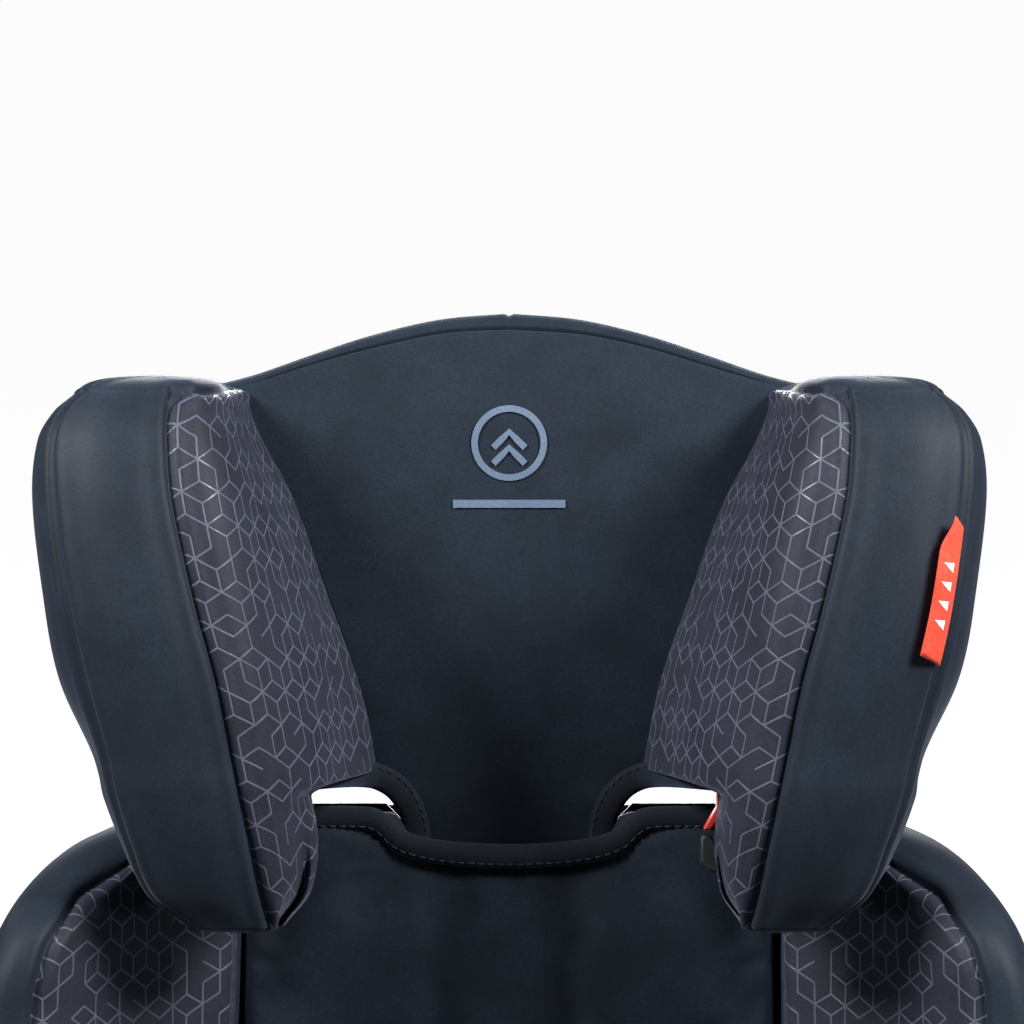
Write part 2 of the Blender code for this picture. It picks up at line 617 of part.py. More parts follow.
def headrest_mast():
    mast = plate("headrest_mast", rounded([(-MAST_HALF, MAST_BOTTOM), (MAST_HALF, MAST_BOTTOM),
                                           (MAST_HALF, 0.500), (-MAST_HALF, 0.500)], 0.006, 2),
                 "Y", MAST_FRONT, MAST_REAR, ALLOY, slide)
    cut(mast, block("pawl_window", (-0.0115, -0.03, PAWL_Z - 0.009),
                    (0.0115, 0.0, PAWL_Z + 0.009), ALLOY, slide))
    for side in (-1, 1):
        low, high = sorted((side * 0.014, side * 0.040))
        block(side_name("mast_mount", side), (low, MAST_REAR + GAP, 0.418),
              (high, 0.0135, 0.4945), BLACK_PLASTIC, slide, bevel=0.001, segments=1)
        plate(side_name("mast_screw", side), disc(0.0045, (side * 0.027, 0.444), 16), "Y",
              0.0183, 0.0205, STEEL, slide, bevel=0.0006, segments=1)
    # squeeze handle in the shell's rear window, with the rod that draws the pawl
    bar = [(-0.018, -0.012), (0.014, -0.012), (0.017, -0.008), (0.017, 0.008), (0.014, 0.012),
           (-0.018, 0.012)]
    plate("adjust_handle", bar, "X", -0.044, 0.044, GREY_PLASTIC, grip, bevel=0.0015)
    block("release_rod", (-0.005, -0.0230, -0.322), (0.005, -0.0195, 0.008), STEEL, grip)
    block("lock_pawl", (-0.009, -0.007, -0.0045), (0.009, 0.0076, 0.0045), STEEL, catch,
          bevel=0.0008, segments=1, origin=(0, 0, 0))
    coil = []
    turns, per_turn = 5, 10
    for i in range(turns * per_turn + 1):
        angle = 2 * math.pi * i / per_turn
        coil.append((0.030 + 0.0042 * math.cos(angle), -0.003 + 0.0042 * math.sin(angle),
                     0.4957 + 0.0192 * i / (turns * per_turn)))
    spring_wire("handle_spring", coil, 0.0006, slide)


def spring_wire(name, points, radius, parent):
    """Round wire following a run of points, five-sided, with flat ends."""
    loops = []
    for i, point in enumerate(points):
        here = Vector(point)
        along = Vector(points[min(i + 1, len(points) - 1)]) - Vector(points[max(i - 1, 0)])
        along.normalize()
        outward = along.cross(Vector((0, 0, 1))).normalized()
        up = outward.cross(along)
        loops.append([tuple(here + radius * (outward * math.cos(a) + up * math.sin(a)))
                      for a in (2 * math.pi * k / 5 for k in range(5))])
    rings(name, loops, STEEL, parent)


def belt_guide(side):
    """Hook for the shoulder belt under one wing, closed by a sprung red gate."""
    hook = [(0.0862, 0.3955), (0.1350, 0.3955), (0.1400, 0.390), (0.1400, 0.362),
            (0.1340, 0.3545), (0.0850, 0.3545), (0.0800, 0.3590), (0.0800, 0.3700),
            (0.0840, 0.3700), (0.0880, 0.3640), (0.1300, 0.3640), (0.1320, 0.3670),
            (0.1320, 0.3820), (0.1300, 0.3850), (0.0985, 0.3850), (0.0955, 0.3880),
            (0.0948, 0.3925), (0.0862, 0.3928)]
    plate(side_name("belt_guide", side), handed(hook, side), "Y", -0.0890, -0.0770,
          BLACK_PLASTIC, slide, bevel=0.0008, segments=1)
    pivot = empty(side_name("gate_pivot", side), (side * 0.0905, -0.083, 0.3885), slide)
    gate = disc(0.0035, (0, 0), 10, 0, 180) + [(-0.0040, -0.0070), (-0.0095, -0.0160),
                                               (-0.0065, -0.0160), (-0.0005, -0.0080),
                                               (0.0030, -0.0030)]
    plate(side_name("belt_gate", side), handed(gate, side), "Y", -0.0055, 0.0055, RED_PLASTIC,
          pivot, bevel=0.0005, segments=1)


def label_tag():
    """Folded red label sewn into the right wing's outer seam."""
    rows = []
    for z in (0.443, 0.470, 0.500):
        x = between(z, HEAD_Z, SEAM_X) + 0.001
        y = between(z, HEAD_Z, FRONT_Y) + 0.0060
        rows.append([(x, y, z), (x - 0.004, y - 0.014, z), (x - 0.0055, y - 0.0140, z),
                     (x - 0.0015, y - 0.0005, z)])
    rings("label_tag", rows, RED_FABRIC, slide)


seat_base()
seat_cushion()
hinge_parts()
backrest_shell()
backrest_centre()
headrest_body()
headrest_mast()
label_tag()
for hand in (-1, 1):
    armrest(hand)
    anchor(hand)
    shoulder_cap(hand)
    backrest_wing(hand)
    headrest_wing(hand)
    belt_guide(hand)
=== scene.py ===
import json
import math

import bmesh
import bpy
import numpy as np
from mathutils import Matrix, Vector

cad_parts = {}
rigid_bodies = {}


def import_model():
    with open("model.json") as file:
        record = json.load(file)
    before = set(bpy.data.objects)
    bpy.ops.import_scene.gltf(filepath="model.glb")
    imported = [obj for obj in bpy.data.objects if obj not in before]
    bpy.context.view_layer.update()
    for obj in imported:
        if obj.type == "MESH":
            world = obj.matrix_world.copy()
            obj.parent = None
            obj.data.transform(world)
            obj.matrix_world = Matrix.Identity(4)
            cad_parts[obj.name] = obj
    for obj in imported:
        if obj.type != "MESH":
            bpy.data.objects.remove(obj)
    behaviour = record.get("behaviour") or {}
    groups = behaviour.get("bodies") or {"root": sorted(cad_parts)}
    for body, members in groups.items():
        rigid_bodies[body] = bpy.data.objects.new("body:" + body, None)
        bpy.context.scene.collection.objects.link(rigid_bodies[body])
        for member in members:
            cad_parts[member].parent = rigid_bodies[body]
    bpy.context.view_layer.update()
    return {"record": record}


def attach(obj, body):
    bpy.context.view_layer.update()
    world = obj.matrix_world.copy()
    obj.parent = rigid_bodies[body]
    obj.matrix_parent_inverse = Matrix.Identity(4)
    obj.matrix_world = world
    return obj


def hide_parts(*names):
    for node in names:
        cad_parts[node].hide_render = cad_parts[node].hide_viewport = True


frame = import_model()
jointInfo = {j["name"]: j for j in frame["record"]["behaviour"]["joints"]}
print("frame loaded")

# the backrest and headrest are shaped upright, then leaned back with the hinge
hingePoint = Vector(jointInfo["backrest_recline"]["pos_m"])
upAxis = Vector(jointInfo["headrest_height"]["axis"]).normalized()
leanBack = Matrix.Translation(hingePoint) @ Vector((0, 0, 1)).rotation_difference(upAxis).to_matrix().to_4x4()
leanArray = np.array(leanBack)


def leaned(points):
    points = np.asarray(points, float)
    return points @ leanArray[:3, :3].T + leanArray[:3, 3]


def linearColour(hexText):
    # sRGB hex to the linear values that shaders take
    values = [int(hexText[i:i + 2], 16) / 255 for i in (0, 2, 4)]
    return tuple(v / 12.92 if v <= 0.04045 else ((v + 0.055) / 1.055) ** 2.4 for v in values) + (1.0,)


def addNode(tree, kind, links=None, **settings):
    node = tree.nodes.new("ShaderNode" + kind)
    for key, value in settings.items():
        setattr(node, key, value)
    for socket, value in (links or {}).items():
        target = node.inputs[socket]
        if isinstance(value, bpy.types.NodeSocket):
            tree.links.new(value, target)
        else:
            target.default_value = value
    return node


def smoothTable(stations, values, at):
    # cubic through the stations, without overshoot at the ends
    t = np.asarray(stations, float)
    p = np.asarray(values, float)
    at = np.clip(np.asarray(at, float), t[0], t[-1])
    slope = np.zeros_like(p)
    slope[1:-1] = (p[2:] - p[:-2]) / (t[2:] - t[:-2])
    slope[0] = (p[1] - p[0]) / (t[1] - t[0])
    slope[-1] = (p[-1] - p[-2]) / (t[-1] - t[-2])
    k = np.clip(np.searchsorted(t, at, side="right") - 1, 0, len(t) - 2)
    h = t[k + 1] - t[k]
    s = (at - t[k]) / h
    return ((2 * s ** 3 - 3 * s ** 2 + 1) * p[k] + (s ** 3 - 2 * s ** 2 + s) * h * slope[k]
            + (-2 * s ** 3 + 3 * s ** 2) * p[k + 1] + (s ** 3 - s ** 2) * h * slope[k + 1])


def easeStep(low, high, value):
    # 0 below low, 1 above high, smooth between
    t = np.clip((value - low) / (high - low), 0, 1)
    return t * t * (3 - 2 * t)


def throughKnots(knots, counts):
    # smooth closed rings through (rows, knots, 2) points; each span gets its own number of columns
    ring = np.concatenate([knots[:, -1:], knots, knots[:, :2]], axis=1)
    gap = np.sqrt(np.maximum(np.linalg.norm(np.diff(ring, axis=1), axis=2), 1e-5))
    out = []
    for k in range(knots.shape[1]):
        p0, p1, p2, p3 = (ring[:, k + i] for i in range(4))
        d0, d1, d2 = (gap[:, k + i][:, None] for i in range(3))
        m1 = (p1 - p0) / d0 - (p2 - p0) / (d0 + d1) + (p2 - p1) / d1
        m2 = (p2 - p1) / d1 - (p3 - p1) / (d1 + d2) + (p3 - p2) / d2
        m1, m2 = m1 * d1, m2 * d1
        for j in range(counts[k]):
            s = j / counts[k]
            out.append((2 * s ** 3 - 3 * s ** 2 + 1) * p1 + (s ** 3 - 2 * s ** 2 + s) * m1
                       + (-2 * s ** 3 + 3 * s ** 2) * p2 + (s ** 3 - s ** 2) * m2)
    return np.stack(out, axis=1)


def gridNormals(grid, closed):
    # outward unit normals of a (rows, columns, 3) grid
    if closed:
        along = np.roll(grid, -1, axis=1) - np.roll(grid, 1, axis=1)
    else:
        along = np.gradient(grid, axis=1)
    up = np.gradient(grid, axis=0)
    normal = np.cross(along, up)
    return normal / np.maximum(np.linalg.norm(normal, axis=2, keepdims=True), 1e-9)


def linkPiece(name, mesh):
    piece = bpy.data.objects.new(name, mesh)
    bpy.context.collection.objects.link(piece)
    return piece


def pieceFromLists(name, verts, faces, mat):
    mesh = bpy.data.meshes.new(name)
    mesh.from_pydata(verts, [], faces)
    mesh.materials.append(mat)
    return linkPiece(name, mesh)


def pieceFromGrid(name, grid, mat, uv=None, closed=False, capped=False):
    # quads over a (rows, columns, 3) grid; closed joins the last column to the first, capped shuts both ends
    rows, columns, _ = grid.shape
    verts = grid.reshape(-1, 3).tolist()
    index = np.arange(rows * columns).reshape(rows, columns)
    right = np.roll(index, -1, axis=1)
    if not closed:
        index, right = index[:, :-1], right[:, :-1]
    faces = np.stack([index[:-1], right[:-1], right[1:], index[1:]], axis=-1).reshape(-1, 4).tolist()
    if capped:
        for row, step in ((0, -1), (rows - 1, 1)):
            verts.append(grid[row].mean(axis=0).tolist())
            hub = len(verts) - 1
            for i in range(columns):
                pair = (row * columns + i, row * columns + (i + 1) % columns)
                faces.append((pair[0], pair[1], hub) if step > 0 else (pair[1], pair[0], hub))
    piece = pieceFromLists(name, verts, faces, mat)
    if uv is not None:
        flat = np.zeros((len(verts), 2))
        flat[:rows * columns] = uv.reshape(-1, 2)
        addClothMap(piece, flat)
    piece.data.shade_smooth()
    return piece


def addClothMap(piece, flat):
    # where each point lies on the flat cloth, in metres, for the print
    layer = piece.data.uv_layers.new(name="cloth")
    loops = np.zeros(len(piece.data.loops), int)
    piece.data.loops.foreach_get("vertex_index", loops)
    layer.data.foreach_set("uv", flat[loops].reshape(-1).tolist())


def tapeAlong(name, path, mat, wide, thick, sides=14, facing=(0, -1, 0)):
    # a soft tape: an oval section swept along a path, its wide side square to facing
    path = np.asarray(path, float)
    ahead = np.gradient(path, axis=0)
    ahead /= np.linalg.norm(ahead, axis=1, keepdims=True)
    face = np.broadcast_to(np.asarray(facing, float), path.shape)
    across = np.cross(ahead, face)
    across /= np.maximum(np.linalg.norm(across, axis=1, keepdims=True), 1e-9)
    out = np.cross(across, ahead)
    angles = np.linspace(0, 2 * np.pi, sides, endpoint=False)
    grid = (path[:, None] + np.cos(angles)[None, :, None] * across[:, None] * wide / 2
            + np.sin(angles)[None, :, None] * out[:, None] * thick / 2)
    piece = pieceFromGrid(name, grid, mat, closed=True, capped=True)
    bm = bmesh.new()
    bm.from_mesh(piece.data)
    bmesh.ops.remove_doubles(bm, verts=bm.verts, dist=1e-6)
    bmesh.ops.recalc_face_normals(bm, faces=bm.faces)
    bm.to_mesh(piece.data)
    bm.free()
    return piece


stitching = {"length": 0.0030, "gap": 0.0012, "radius": 0.00035, "lift": 0.0003, "sides": 5}


def stitchRow(name, path, mat, facing=(0, -1, 0)):
    # separate thread stitches laid along a path, each a short bent rod of three rings
    length, gap, radius, lift, sides = stitching.values()
    path = np.asarray(path, float)
    run = np.concatenate([[0], np.cumsum(np.linalg.norm(np.diff(path, axis=0), axis=1))])
    faces3 = np.broadcast_to(np.asarray(facing, float), path.shape)
    verts, faces = [], []
    at = gap
    while at + length < run[-1]:
        ends = [np.array([np.interp(s, run, path[:, i]) for i in range(3)])
                for s in (at, at + length / 2, at + length)]
        along = ends[2] - ends[0]
        along /= max(np.linalg.norm(along), 1e-9)
        face = np.array([np.interp(at, run, faces3[:, i]) for i in range(3)])
        across = np.cross(along, face)
        across /= max(np.linalg.norm(across), 1e-9)
        out = np.cross(across, along)
        for k, point in enumerate(ends):
            centre = point + out * (lift if k == 1 else -radius * 0.6)
            for a in range(sides):
                angle = 2 * math.pi * a / sides
                verts.append((centre + radius * (math.cos(angle) * across + math.sin(angle) * out)).tolist())
        base = len(verts) - 3 * sides
        for k in (0, sides):
            for a in range(sides):
                b = (a + 1) % sides
                faces.append((base + k + a, base + k + b, base + k + sides + b, base + k + sides + a))
        faces.append(tuple(base + a for a in reversed(range(sides))))
        faces.append(tuple(base + 2 * sides + a for a in range(sides)))
        at += length + gap
    piece = pieceFromLists(name, verts, faces, mat)
    piece.data.shade_smooth()
    return piece


def signedCorner(a, b, radius):
    # distance into the region a > 0 and b > 0, its corner rounded
    inner = np.where((a < radius) & (b < radius), radius - np.hypot(radius - a, radius - b), np.minimum(a, b))
    outer = np.where((a < 0) & (b < 0), -np.hypot(a, b), np.minimum(a, b))
    return np.where((a < 0) | (b < 0), np.where((a < 0) & (b < 0), outer, np.minimum(a, b)), inner)


def groove(distance, depth, width):
    # thread pulls the seam in, the cloth beside it swells
    swell = 0.4 * depth * np.exp(-((np.abs(distance) - 3.2 * width) / (2 * width)) ** 2)
    return depth * np.exp(-(distance / width) ** 2) - swell


def waves(seed, size, low, high, *fields):
    # slack in the cloth: a few seeded sine waves, low and high are their pace per metre
    rng = np.random.default_rng(seed)
    total = 0
    for _ in range(6):
        total = total + size * np.sin(sum(rng.uniform(low, high) * f for f in fields) + rng.uniform(0, 6))
    return total


def addField(piece, name, values):
    # one number for each point, read by the material
    field = piece.data.attributes.new(name, "FLOAT", "POINT")
    full = np.zeros(len(piece.data.vertices))
    full[:values.size] = values.reshape(-1)
    field.data.foreach_set("value", full.tolist())


# the real knit has about 0.3 mm between threads; 0.9 mm is as fine as it shows
plainCloth = {"colour": "0e161f", "mottle": "16202b", "roughness": 0.85, "sheen": 0.10, "sheenTint": "7890b0",
              "threadMm": 0.9, "lintMm": 1.11, "patchMm": 26.3, "weaveBump": 0.12}
# edgeMm is one edge of a printed block, lineMm the line's width, keep the share of edges that are drawn
printCloth = dict(plainCloth, colour="191b24", mottle="242632", line="4e515e", roughness=0.62,
                  lineRoughness=0.26, sheen=0.23, sheenTint="9a9db4", edgeMm=9.0, lineMm=0.72, keep=0.80)


def startMaterial(name):
    mat = bpy.data.materials.new(name)
    mat.use_nodes = True
    tree = mat.node_tree
    tree.nodes.clear()
    shader = addNode(tree, "BsdfPrincipled")
    addNode(tree, "OutputMaterial", {"Surface": shader.outputs["BSDF"]})
    return mat, tree, shader


def knitHeight(tree, threadMm, coords):
    # fine knit: two crossing sine bands, one turn per thread
    turns = 2 * math.pi / (threadMm * 0.001)
    split = addNode(tree, "SeparateXYZ", {"Vector": coords})
    across = addNode(tree, "Math", {0: split.outputs["X"], 1: turns}, operation="MULTIPLY")
    along = addNode(tree, "Math", {0: split.outputs["Y"], 1: turns}, operation="MULTIPLY")
    upward = addNode(tree, "Math", {0: split.outputs["Z"], 1: turns, 2: along.outputs[0]},
                     operation="MULTIPLY_ADD")
    waveA = addNode(tree, "Math", {0: across.outputs[0]}, operation="SINE")
    waveB = addNode(tree, "Math", {0: upward.outputs[0]}, operation="SINE")
    woven = addNode(tree, "Math", {0: waveA.outputs[0], 1: waveB.outputs[0]}, operation="MULTIPLY")
    return woven.outputs[0]


def clothGround(tree, place, cloth):
    # uneven dye: fine lint over wide soft patches
    lint = addNode(tree, "TexNoise", {"Vector": place, "Scale": 1000 / cloth["lintMm"], "Detail": 2.0})
    patches = addNode(tree, "TexNoise", {"Vector": place, "Scale": 1000 / cloth["patchMm"], "Detail": 3.0,
                                         "Roughness": 0.6})
    mixedShade = addNode(tree, "Math", {0: patches.outputs["Fac"], 1: lint.outputs["Fac"]},
                         operation="MULTIPLY")
    shade = addNode(tree, "ValToRGB", {"Fac": mixedShade.outputs[0]})
    shade.color_ramp.elements[0].position, shade.color_ramp.elements[1].position = 0.14, 0.38
    shade.color_ramp.elements[0].color = linearColour(cloth["colour"])
    shade.color_ramp.elements[1].color = linearColour(cloth["mottle"])
    return shade.outputs["Color"], lint.outputs["Fac"]


def clothSheen(shader, cloth):
    shader.inputs["Roughness"].default_value = cloth["roughness"]
    shader.inputs["IOR"].default_value = 1.45
    shader.inputs["Specular IOR Level"].default_value = 0.22
    shader.inputs["Sheen Weight"].default_value = cloth["sheen"]
    shader.inputs["Sheen Roughness"].default_value = 0.45
    shader.inputs["Sheen Tint"].default_value = linearColour(cloth["sheenTint"])


def clothMaterial(name, cloth):
    # polyester knit over thin foam: dull and dark face on, a soft grey bloom at grazing angles
    mat, tree, shader = startMaterial(name)
    place = addNode(tree, "TexCoord").outputs["Object"]
    ground, lint = clothGround(tree, place, cloth)
    knit = knitHeight(tree, cloth["threadMm"], place)
    height = addNode(tree, "Math", {0: knit, 1: 0.5, 2: lint}, operation="MULTIPLY_ADD")
    bump = addNode(tree, "Bump", {"Height": height.outputs[0], "Strength": cloth["weaveBump"],
                                  "Distance": 0.0004})
    tree.links.new(ground, shader.inputs["Base Color"])
    tree.links.new(bump.outputs["Normal"], shader.inputs["Normal"])
    clothSheen(shader, cloth)
    return mat


def printMaterial(name, cloth, plain):
    # the knit where the printed field is on: glossy raised lines, tumbling blocks with edges left out
    mat, tree, shader = startMaterial(name)
    place = addNode(tree, "TexCoord").outputs["Object"]
    flat = addNode(tree, "UVMap", uv_map="cloth").outputs["UV"]
    split = addNode(tree, "SeparateXYZ", {"Vector": flat})
    side = cloth["edgeMm"] * 0.001
    rowGap = side * math.sqrt(3) / 2
    total = None
    for family, angle in enumerate((90, 30, -30)):
        c, s = math.cos(math.radians(angle)), math.sin(math.radians(angle))
        alongPart = addNode(tree, "Math", {0: split.outputs["Y"], 1: s / side}, operation="MULTIPLY")
        along = addNode(tree, "Math", {0: split.outputs["X"], 1: c / side, 2: alongPart.outputs[0]},
                        operation="MULTIPLY_ADD")
        acrossPart = addNode(tree, "Math", {0: split.outputs["Y"], 1: c / rowGap}, operation="MULTIPLY")
        across = addNode(tree, "Math", {0: split.outputs["X"], 1: -s / rowGap, 2: acrossPart.outputs[0]},
                         operation="MULTIPLY_ADD")                      # counts rows of the triangle lattice
        row = addNode(tree, "Math", {0: across.outputs[0]}, operation="ROUND")
        offset = addNode(tree, "Math", {0: across.outputs[0], 1: row.outputs[0]}, operation="SUBTRACT")
        away = addNode(tree, "Math", {0: offset.outputs[0]}, operation="ABSOLUTE")
        halfShift = addNode(tree, "Math", {0: row.outputs[0], 1: 0.5, 2: along.outputs[0]},
                            operation="MULTIPLY_ADD")
        part = addNode(tree, "Math", {0: halfShift.outputs[0]}, operation="FLOOR")
        key = addNode(tree, "CombineXYZ", {"X": row.outputs[0], "Y": part.outputs[0],
                                           "Z": family * 17.3 + 4.1})
        chance = addNode(tree, "TexWhiteNoise", {"Vector": key.outputs[0]}, noise_dimensions="3D")
        drawn = addNode(tree, "Math", {0: chance.outputs["Value"], 1: cloth["keep"]}, operation="LESS_THAN")
        knot = addNode(tree, "Math", {0: row.outputs[0], 1: part.outputs[0]}, operation="ADD")
        third = addNode(tree, "Math", {0: knot.outputs[0], 1: 3.0}, operation="FLOORED_MODULO")
        acrossBlock = addNode(tree, "Math", {0: third.outputs[0], 1: 1.0, 2: 0.5}, operation="COMPARE")
        kept = addNode(tree, "Math", {0: drawn.outputs[0], 1: acrossBlock.outputs[0]}, operation="SUBTRACT",
                       use_clamp=True)                                  # every third edge would cut a block
        edge = cloth["lineMm"] * 0.0005 / rowGap
        line = addNode(tree, "MapRange", {"Value": away.outputs[0], "From Min": edge * 0.65,
                                          "From Max": edge * 1.35, "To Min": 1.0, "To Max": 0.0},
                       interpolation_type="SMOOTHSTEP")
        mask = addNode(tree, "Math", {0: line.outputs[0], 1: kept.outputs[0]}, operation="MULTIPLY")
        total = mask if total is None else addNode(tree, "Math", {0: total.outputs[0], 1: mask.outputs[0]},
                                                   operation="MAXIMUM")
    field = addNode(tree, "Attribute", attribute_name="printed")
    inside = addNode(tree, "MapRange", {"Value": field.outputs["Fac"], "From Min": 0.45, "From Max": 0.55})
    ink = addNode(tree, "Math", {0: total.outputs[0], 1: inside.outputs[0]}, operation="MULTIPLY")
    printGround, lint = clothGround(tree, place, cloth)
    plainGround, _ = clothGround(tree, place, plain)
    under = addNode(tree, "MixRGB", {"Fac": inside.outputs[0], "Color1": plainGround, "Color2": printGround})
    colour = addNode(tree, "MixRGB", {"Fac": ink.outputs[0], "Color1": under.outputs[0],
                                      "Color2": linearColour(cloth["line"])})
    gloss = addNode(tree, "MapRange", {"Value": ink.outputs[0], "To Min": cloth["roughness"],
                                       "To Max": cloth["lineRoughness"]})
    knit = knitHeight(tree, cloth["threadMm"], place)
    weave = addNode(tree, "Math", {0: knit, 1: 0.20, 2: lint}, operation="MULTIPLY_ADD")
    height = addNode(tree, "Math", {0: weave.outputs[0], 1: 0.30, 2: ink.outputs[0]},
                     operation="MULTIPLY_ADD")
    bump = addNode(tree, "Bump", {"Height": height.outputs[0], "Strength": 0.40, "Distance": 0.0004})
    clothSheen(shader, cloth)
    tree.links.new(colour.outputs[0], shader.inputs["Base Color"])
    tree.links.new(gloss.outputs[0], shader.inputs["Roughness"])
    tree.links.new(bump.outputs["Normal"], shader.inputs["Normal"])
    return mat


def plasticMaterial(name, colour, roughness, grainMm=0.6, grain=0.12, flowMm=41.7):
    # moulded plastic: even colour with faint flow marks, spark-eroded grain that breaks the highlights
    mat, tree, shader = startMaterial(name)
    place = addNode(tree, "TexCoord").outputs["Object"]
    cells = addNode(tree, "TexNoise", {"Vector": place, "Scale": 1.0 / (grainMm * 0.001), "Detail": 2.0})
    smears = addNode(tree, "TexNoise", {"Vector": place, "Scale": 1000 / flowMm, "Detail": 4.0,
                                        "Roughness": 0.65})
    sheenBand = addNode(tree, "MapRange", {"Value": smears.outputs["Fac"], "From Min": 0.3, "From Max": 0.7,
                                           "To Min": roughness - 0.06, "To Max": roughness + 0.07})
    tint = addNode(tree, "ValToRGB", {"Fac": smears.outputs["Fac"]})
    base = linearColour(colour)
    tint.color_ramp.elements[0].color = tuple(c * 0.88 for c in base[:3]) + (1.0,)
    tint.color_ramp.elements[1].color = tuple(min(1.0, c * 1.12 + 0.001) for c in base[:3]) + (1.0,)
    bump = addNode(tree, "Bump", {"Height": cells.outputs["Fac"], "Strength": grain, "Distance": 0.0003})
    tree.links.new(tint.outputs["Color"], shader.inputs["Base Color"])
    tree.links.new(sheenBand.outputs[0], shader.inputs["Roughness"])
    tree.links.new(bump.outputs["Normal"], shader.inputs["Normal"])
    shader.inputs["IOR"].default_value = 1.49
    return mat


def metalMaterial(name, colour, roughness, strokeMm=0.5, runMm=16.7):
    # drawn or pressed sheet: cool grey with faint streaks across it, runMm long
    mat, tree, shader = startMaterial(name)
    place = addNode(tree, "TexCoord").outputs["Object"]
    stretch = addNode(tree, "Mapping", {"Vector": place,
                                        "Scale": (1000 / strokeMm, 1000 / runMm, 1000 / runMm)})
    streaks = addNode(tree, "TexNoise", {"Vector": stretch.outputs[0], "Scale": 1.0, "Detail": 3.0})
    band = addNode(tree, "MapRange", {"Value": streaks.outputs["Fac"], "From Min": 0.3, "From Max": 0.7,
                                      "To Min": roughness - 0.07, "To Max": roughness + 0.10})
    bump = addNode(tree, "Bump", {"Height": streaks.outputs["Fac"], "Strength": 0.06, "Distance": 0.0002})
    tree.links.new(band.outputs[0], shader.inputs["Roughness"])
    tree.links.new(bump.outputs["Normal"], shader.inputs["Normal"])
    shader.inputs["Base Color"].default_value = linearColour(colour)
    shader.inputs["Metallic"].default_value = 1.0
    return mat


def foamMaterial(name, colour, shadow, beadMm=3.03):
    # expanded polystyrene: off-white beads about 3 mm across, darker where they meet
    mat, tree, shader = startMaterial(name)
    place = addNode(tree, "TexCoord").outputs["Object"]
    beads = addNode(tree, "TexVoronoi", {"Vector": place, "Scale": 1000 / beadMm})
    bump = addNode(tree, "Bump", {"Height": beads.outputs["Distance"], "Strength": 0.4, "Distance": 0.0006},
                   invert=True)
    shade = addNode(tree, "ValToRGB", {"Fac": beads.outputs["Distance"]})
    shade.color_ramp.elements[0].color = linearColour(colour)
    shade.color_ramp.elements[1].color = linearColour(shadow)
    tree.links.new(shade.outputs["Color"], shader.inputs["Base Color"])
    tree.links.new(bump.outputs["Normal"], shader.inputs["Normal"])
    shader.inputs["Roughness"].default_value = 0.85
    return mat


# polyester knit: dull and nearly black face on, grey-blue where it turns away
navyKnit = clothMaterial("polyester_knit_navy", plainCloth)
# woven polyester tape: coarser and a little lighter than the knit beside it
tapeCloth = clothMaterial("woven_binding_tape", dict(plainCloth, colour="0e1219", mottle="161b24",
                                                     threadMm=0.7, weaveBump=0.35, sheen=0.30))
# woven satin ribbon: the one bright warm spot
redTape = clothMaterial("woven_label_red", dict(plainCloth, colour="c93a29", mottle="d9553f", sheen=0.25,
                                                sheenTint="ffb4a4", threadMm=0.5, weaveBump=0.3,
                                                roughness=0.7))
# thread woven into the ribbon: plain white marks
whiteThread = clothMaterial("woven_thread_white", dict(plainCloth, colour="e9e4de", mottle="f4f0ea",
                                                       sheen=0.1, threadMm=0.4, weaveBump=0.3))
# screen-printed ink: flat slate blue that sits on the knit
greyInk = clothMaterial("screen_print_slate", dict(plainCloth, colour="4d5b6e", mottle="566477", sheen=0.15,
                                                   weaveBump=0.2, roughness=0.6))
# the same knit with a printed field: thin lines that catch the light
printKnit = printMaterial("polyester_knit_printed", printCloth, plainCloth)
# spun nylon thread: dull grey dashes along the tape
threadNylon = clothMaterial("nylon_thread_grey", dict(plainCloth, colour="1e242d", mottle="2a313c",
                                                      threadMm=0.3))
# polypropylene, moulded with a fine grain: soft wide highlights on black
blackPolymer = plasticMaterial("polypropylene_black_grained", "17181b", 0.48)
# polypropylene, moulded with a coarser grain: matt charcoal
greyPolymer = plasticMaterial("polypropylene_charcoal_grained", "26282c", 0.52, grainMm=0.8, grain=0.16)
# acetal, moulded nearly smooth: a clear red with tight highlights
redPolymer = plasticMaterial("acetal_red_moulded", "a82318", 0.36, grain=0.05)
# steel, pressed and zinc plated: cool bright grey, faintly streaked
zincSteel = metalMaterial("steel_zinc_plated", "9ea3a8", 0.34)
# aluminium, extruded and left bare: pale satin grey with fine die lines
mastAlloy = metalMaterial("aluminium_mill_finish", "aeb1b4", 0.38, strokeMm=0.3)
# rubber, moulded: dead matt near black
soleRubber = plasticMaterial("rubber_moulded_black", "1c1c1e", 0.82, grainMm=1.2, grain=0.25)
# polystyrene foam, moulded from beads: off-white and pebbly
beadFoam = foamMaterial("polystyrene_expanded", "e4e2dc", "b9b8b2")
print("materials made")

slotMaterials = {"grey_plastic": greyPolymer, "black_plastic": blackPolymer, "red_plastic": redPolymer,
                 "zinc_steel": zincSteel, "mast_alloy": mastAlloy, "rubber": soleRubber,
                 "foam_core": beadFoam, "navy_fabric": navyKnit, "printed_fabric": printKnit,
                 "red_fabric": redTape}
